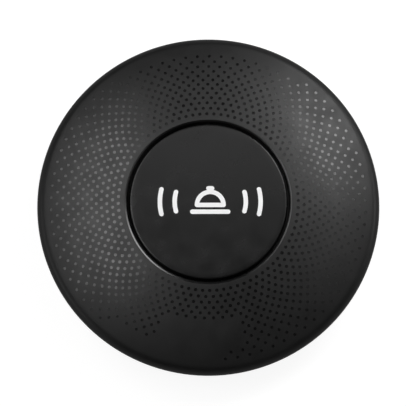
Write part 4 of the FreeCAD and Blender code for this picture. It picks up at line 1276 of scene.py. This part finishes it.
def floor_finish():
    material, nodes, links, shader, place = new_finish("pale floor")
    shader.inputs["Base Color"].default_value = (*floor_grey, 1.0)
    shader.inputs["Roughness"].default_value = 0.9
    shader.inputs["Specular IOR Level"].default_value = 0.0
    glow = nodes.new("ShaderNodeEmission")
    rays = nodes.new("ShaderNodeLightPath").outputs
    mirrored = maths(nodes, links, "MULTIPLY", rays["Is Glossy Ray"], mirrored_share)
    through = maths(nodes, links, "MAXIMUM", mirrored, rays["Is Transmission Ray"])
    seen = maths(nodes, links, "MAXIMUM", rays["Is Camera Ray"], through)
    links.new(maths(nodes, links, "MULTIPLY", seen, glow_level), glow.inputs["Strength"])
    both = nodes.new("ShaderNodeAddShader")
    links.new(shader.outputs["BSDF"], both.inputs[0])
    links.new(glow.outputs["Emission"], both.inputs[1])
    clear = nodes.new("ShaderNodeBsdfTransparent")
    facing = nodes.new("ShaderNodeNewGeometry")
    pick = nodes.new("ShaderNodeMixShader")
    links.new(facing.outputs["Backfacing"], pick.inputs["Fac"])
    links.new(both.outputs["Shader"], pick.inputs[1])
    links.new(clear.outputs["BSDF"], pick.inputs[2])
    links.new(pick.outputs["Shader"], nodes["Material Output"].inputs["Surface"])
    return material


floor = added("floor", bpy.ops.mesh.primitive_plane_add,
              size=6.0, location=(0.0, 0.0, mm(-0.02)))
floor.data.materials.append(floor_finish())


def aimed(item, spot, across, along, away):
    """Puts a camera or a lamp in its place, with its own axes along these directions."""
    item.location = spot
    item.rotation_mode = "QUATERNION"
    item.rotation_quaternion = Matrix((across, along, away)).transposed().to_quaternion()


PICTURE_SIZE = 406
PICTURE_RADIUS = 171.1
BODY_SPOT = (208.3, 207.3)
camera_elevation = math.radians(79.1)
lens = 1200.0
sensor = 36.0
frame_width = PICTURE_SIZE * body_radius / PICTURE_RADIUS
distance = frame_width * lens / sensor
back = Vector((0.0, -math.cos(camera_elevation), math.sin(camera_elevation)))
right = Vector((1.0, 0.0, 0.0))
up = back.cross(right)
pixel = frame_width / PICTURE_SIZE
slide = right * ((PICTURE_SIZE / 2 - BODY_SPOT[0]) * pixel)
slide += up * ((BODY_SPOT[1] - PICTURE_SIZE / 2) * pixel)
bpy.ops.object.camera_add()
camera = bpy.context.active_object
camera.data.lens = lens
camera.data.sensor_width = sensor
camera.data.clip_start = 0.01
aimed(camera, Vector((0.0, 0.0, widest_level)) + back * distance + slide, right, up, back)
bpy.context.scene.camera = camera
print("camera", round(distance, 3), "m away")

# %% [markdown]
# ## Light
# Soft light comes from two sides, from the left and from the back right. Where the dome's
# slope mirrors a box, the pits light up against the matte plastic; where it mirrors the dark
# ceiling, they sink to black. The long sides of the boxes run front to back, which is what
# stretches the two sheens along the ring. The left light is bright near the zenith and weaker
# further out, so it is built from three strips, and small dim boxes soften the ends of both
# lights. A dim one low on the right lets the dots there fade into the plastic. Two boxes near
# the table, left and right, are what the steep rim mirrors, so the cover doesn't end in a
# dark edge there. A weak box high above gives the button its own soft sheen. The world is
# white to the camera and near the horizon, and dark overhead, like a studio with a dark
# ceiling.

# %% Hang the soft boxes
def soft_box(name, location, width, length, brightness, roll=0.0):
    """An area lamp aimed at the object, its long side running front to back."""
    spot = Vector(location)
    away = spot.normalized()
    along = away.cross(Vector((1.0, 0.0, 0.0))).normalized()
    along = Matrix.Rotation(math.radians(roll), 3, away) @ along
    across = along.cross(away)
    lamp = bpy.data.lights.new(name, "AREA")
    lamp.shape = "RECTANGLE"
    lamp.size = width
    lamp.size_y = length
    lamp.energy = brightness * math.pi * width * length
    item = bpy.data.objects.new(name, lamp)
    bpy.context.collection.objects.link(item)
    aimed(item, spot, across, along, away)


soft_box("left inner box", (-0.239, 0.116, 0.64), 0.092, 0.47, 8.2)
soft_box("left middle box", (-0.315, 0.112, 0.613), 0.08, 0.47, 3.5)
soft_box("left outer box", (-0.374, 0.11, 0.581), 0.066, 0.47, 5.2)
soft_box("left back box", (-0.23, 0.375, 0.545), 0.12, 0.1, 3.4)
soft_box("right soft box", (0.324, 0.365, 0.505), 0.22, 0.34, 12.0, roll=18.0)
soft_box("right front box", (0.355, 0.19, 0.57), 0.17, 0.12, 2.8)
soft_box("right low box", (0.332, -0.012, 0.616), 0.15, 0.25, 0.9)
soft_box("left edge box", (-0.56, -0.1, 0.185), 0.16, 0.6, 2.2, roll=30.0)
soft_box("right edge box", (0.527, 0.215, 0.185), 0.16, 0.6, 3.4, roll=53.0)
soft_box("top soft box", (0.035, 0.21, 0.667), 0.21, 0.147, 1.5)

world = bpy.data.worlds.new("studio")
bpy.context.scene.world = world
world.use_nodes = True
nodes = world.node_tree.nodes
links = world.node_tree.links
background = nodes["Background"]
path = nodes.new("ShaderNodeLightPath")
direction = nodes.new("ShaderNodeTexCoord")
split = nodes.new("ShaderNodeSeparateXYZ")
links.new(direction.outputs["Generated"], split.inputs["Vector"])
ceiling_level = 0.02
horizon_band = (0.0, 0.12)
ceiling = between(nodes, links, split.outputs["Z"], 1.0, ceiling_level, horizon_band)
choose = nodes.new("ShaderNodeMix")
choose.data_type = "FLOAT"
choose.inputs[3].default_value = 1.0
links.new(path.outputs["Is Camera Ray"], choose.inputs[0])
links.new(ceiling, choose.inputs[2])
links.new(choose.outputs[0], background.inputs["Strength"])
background.inputs["Color"].default_value = (1.0, 1.0, 1.0, 1.0)
bpy.context.scene.view_settings.view_transform = "Standard"
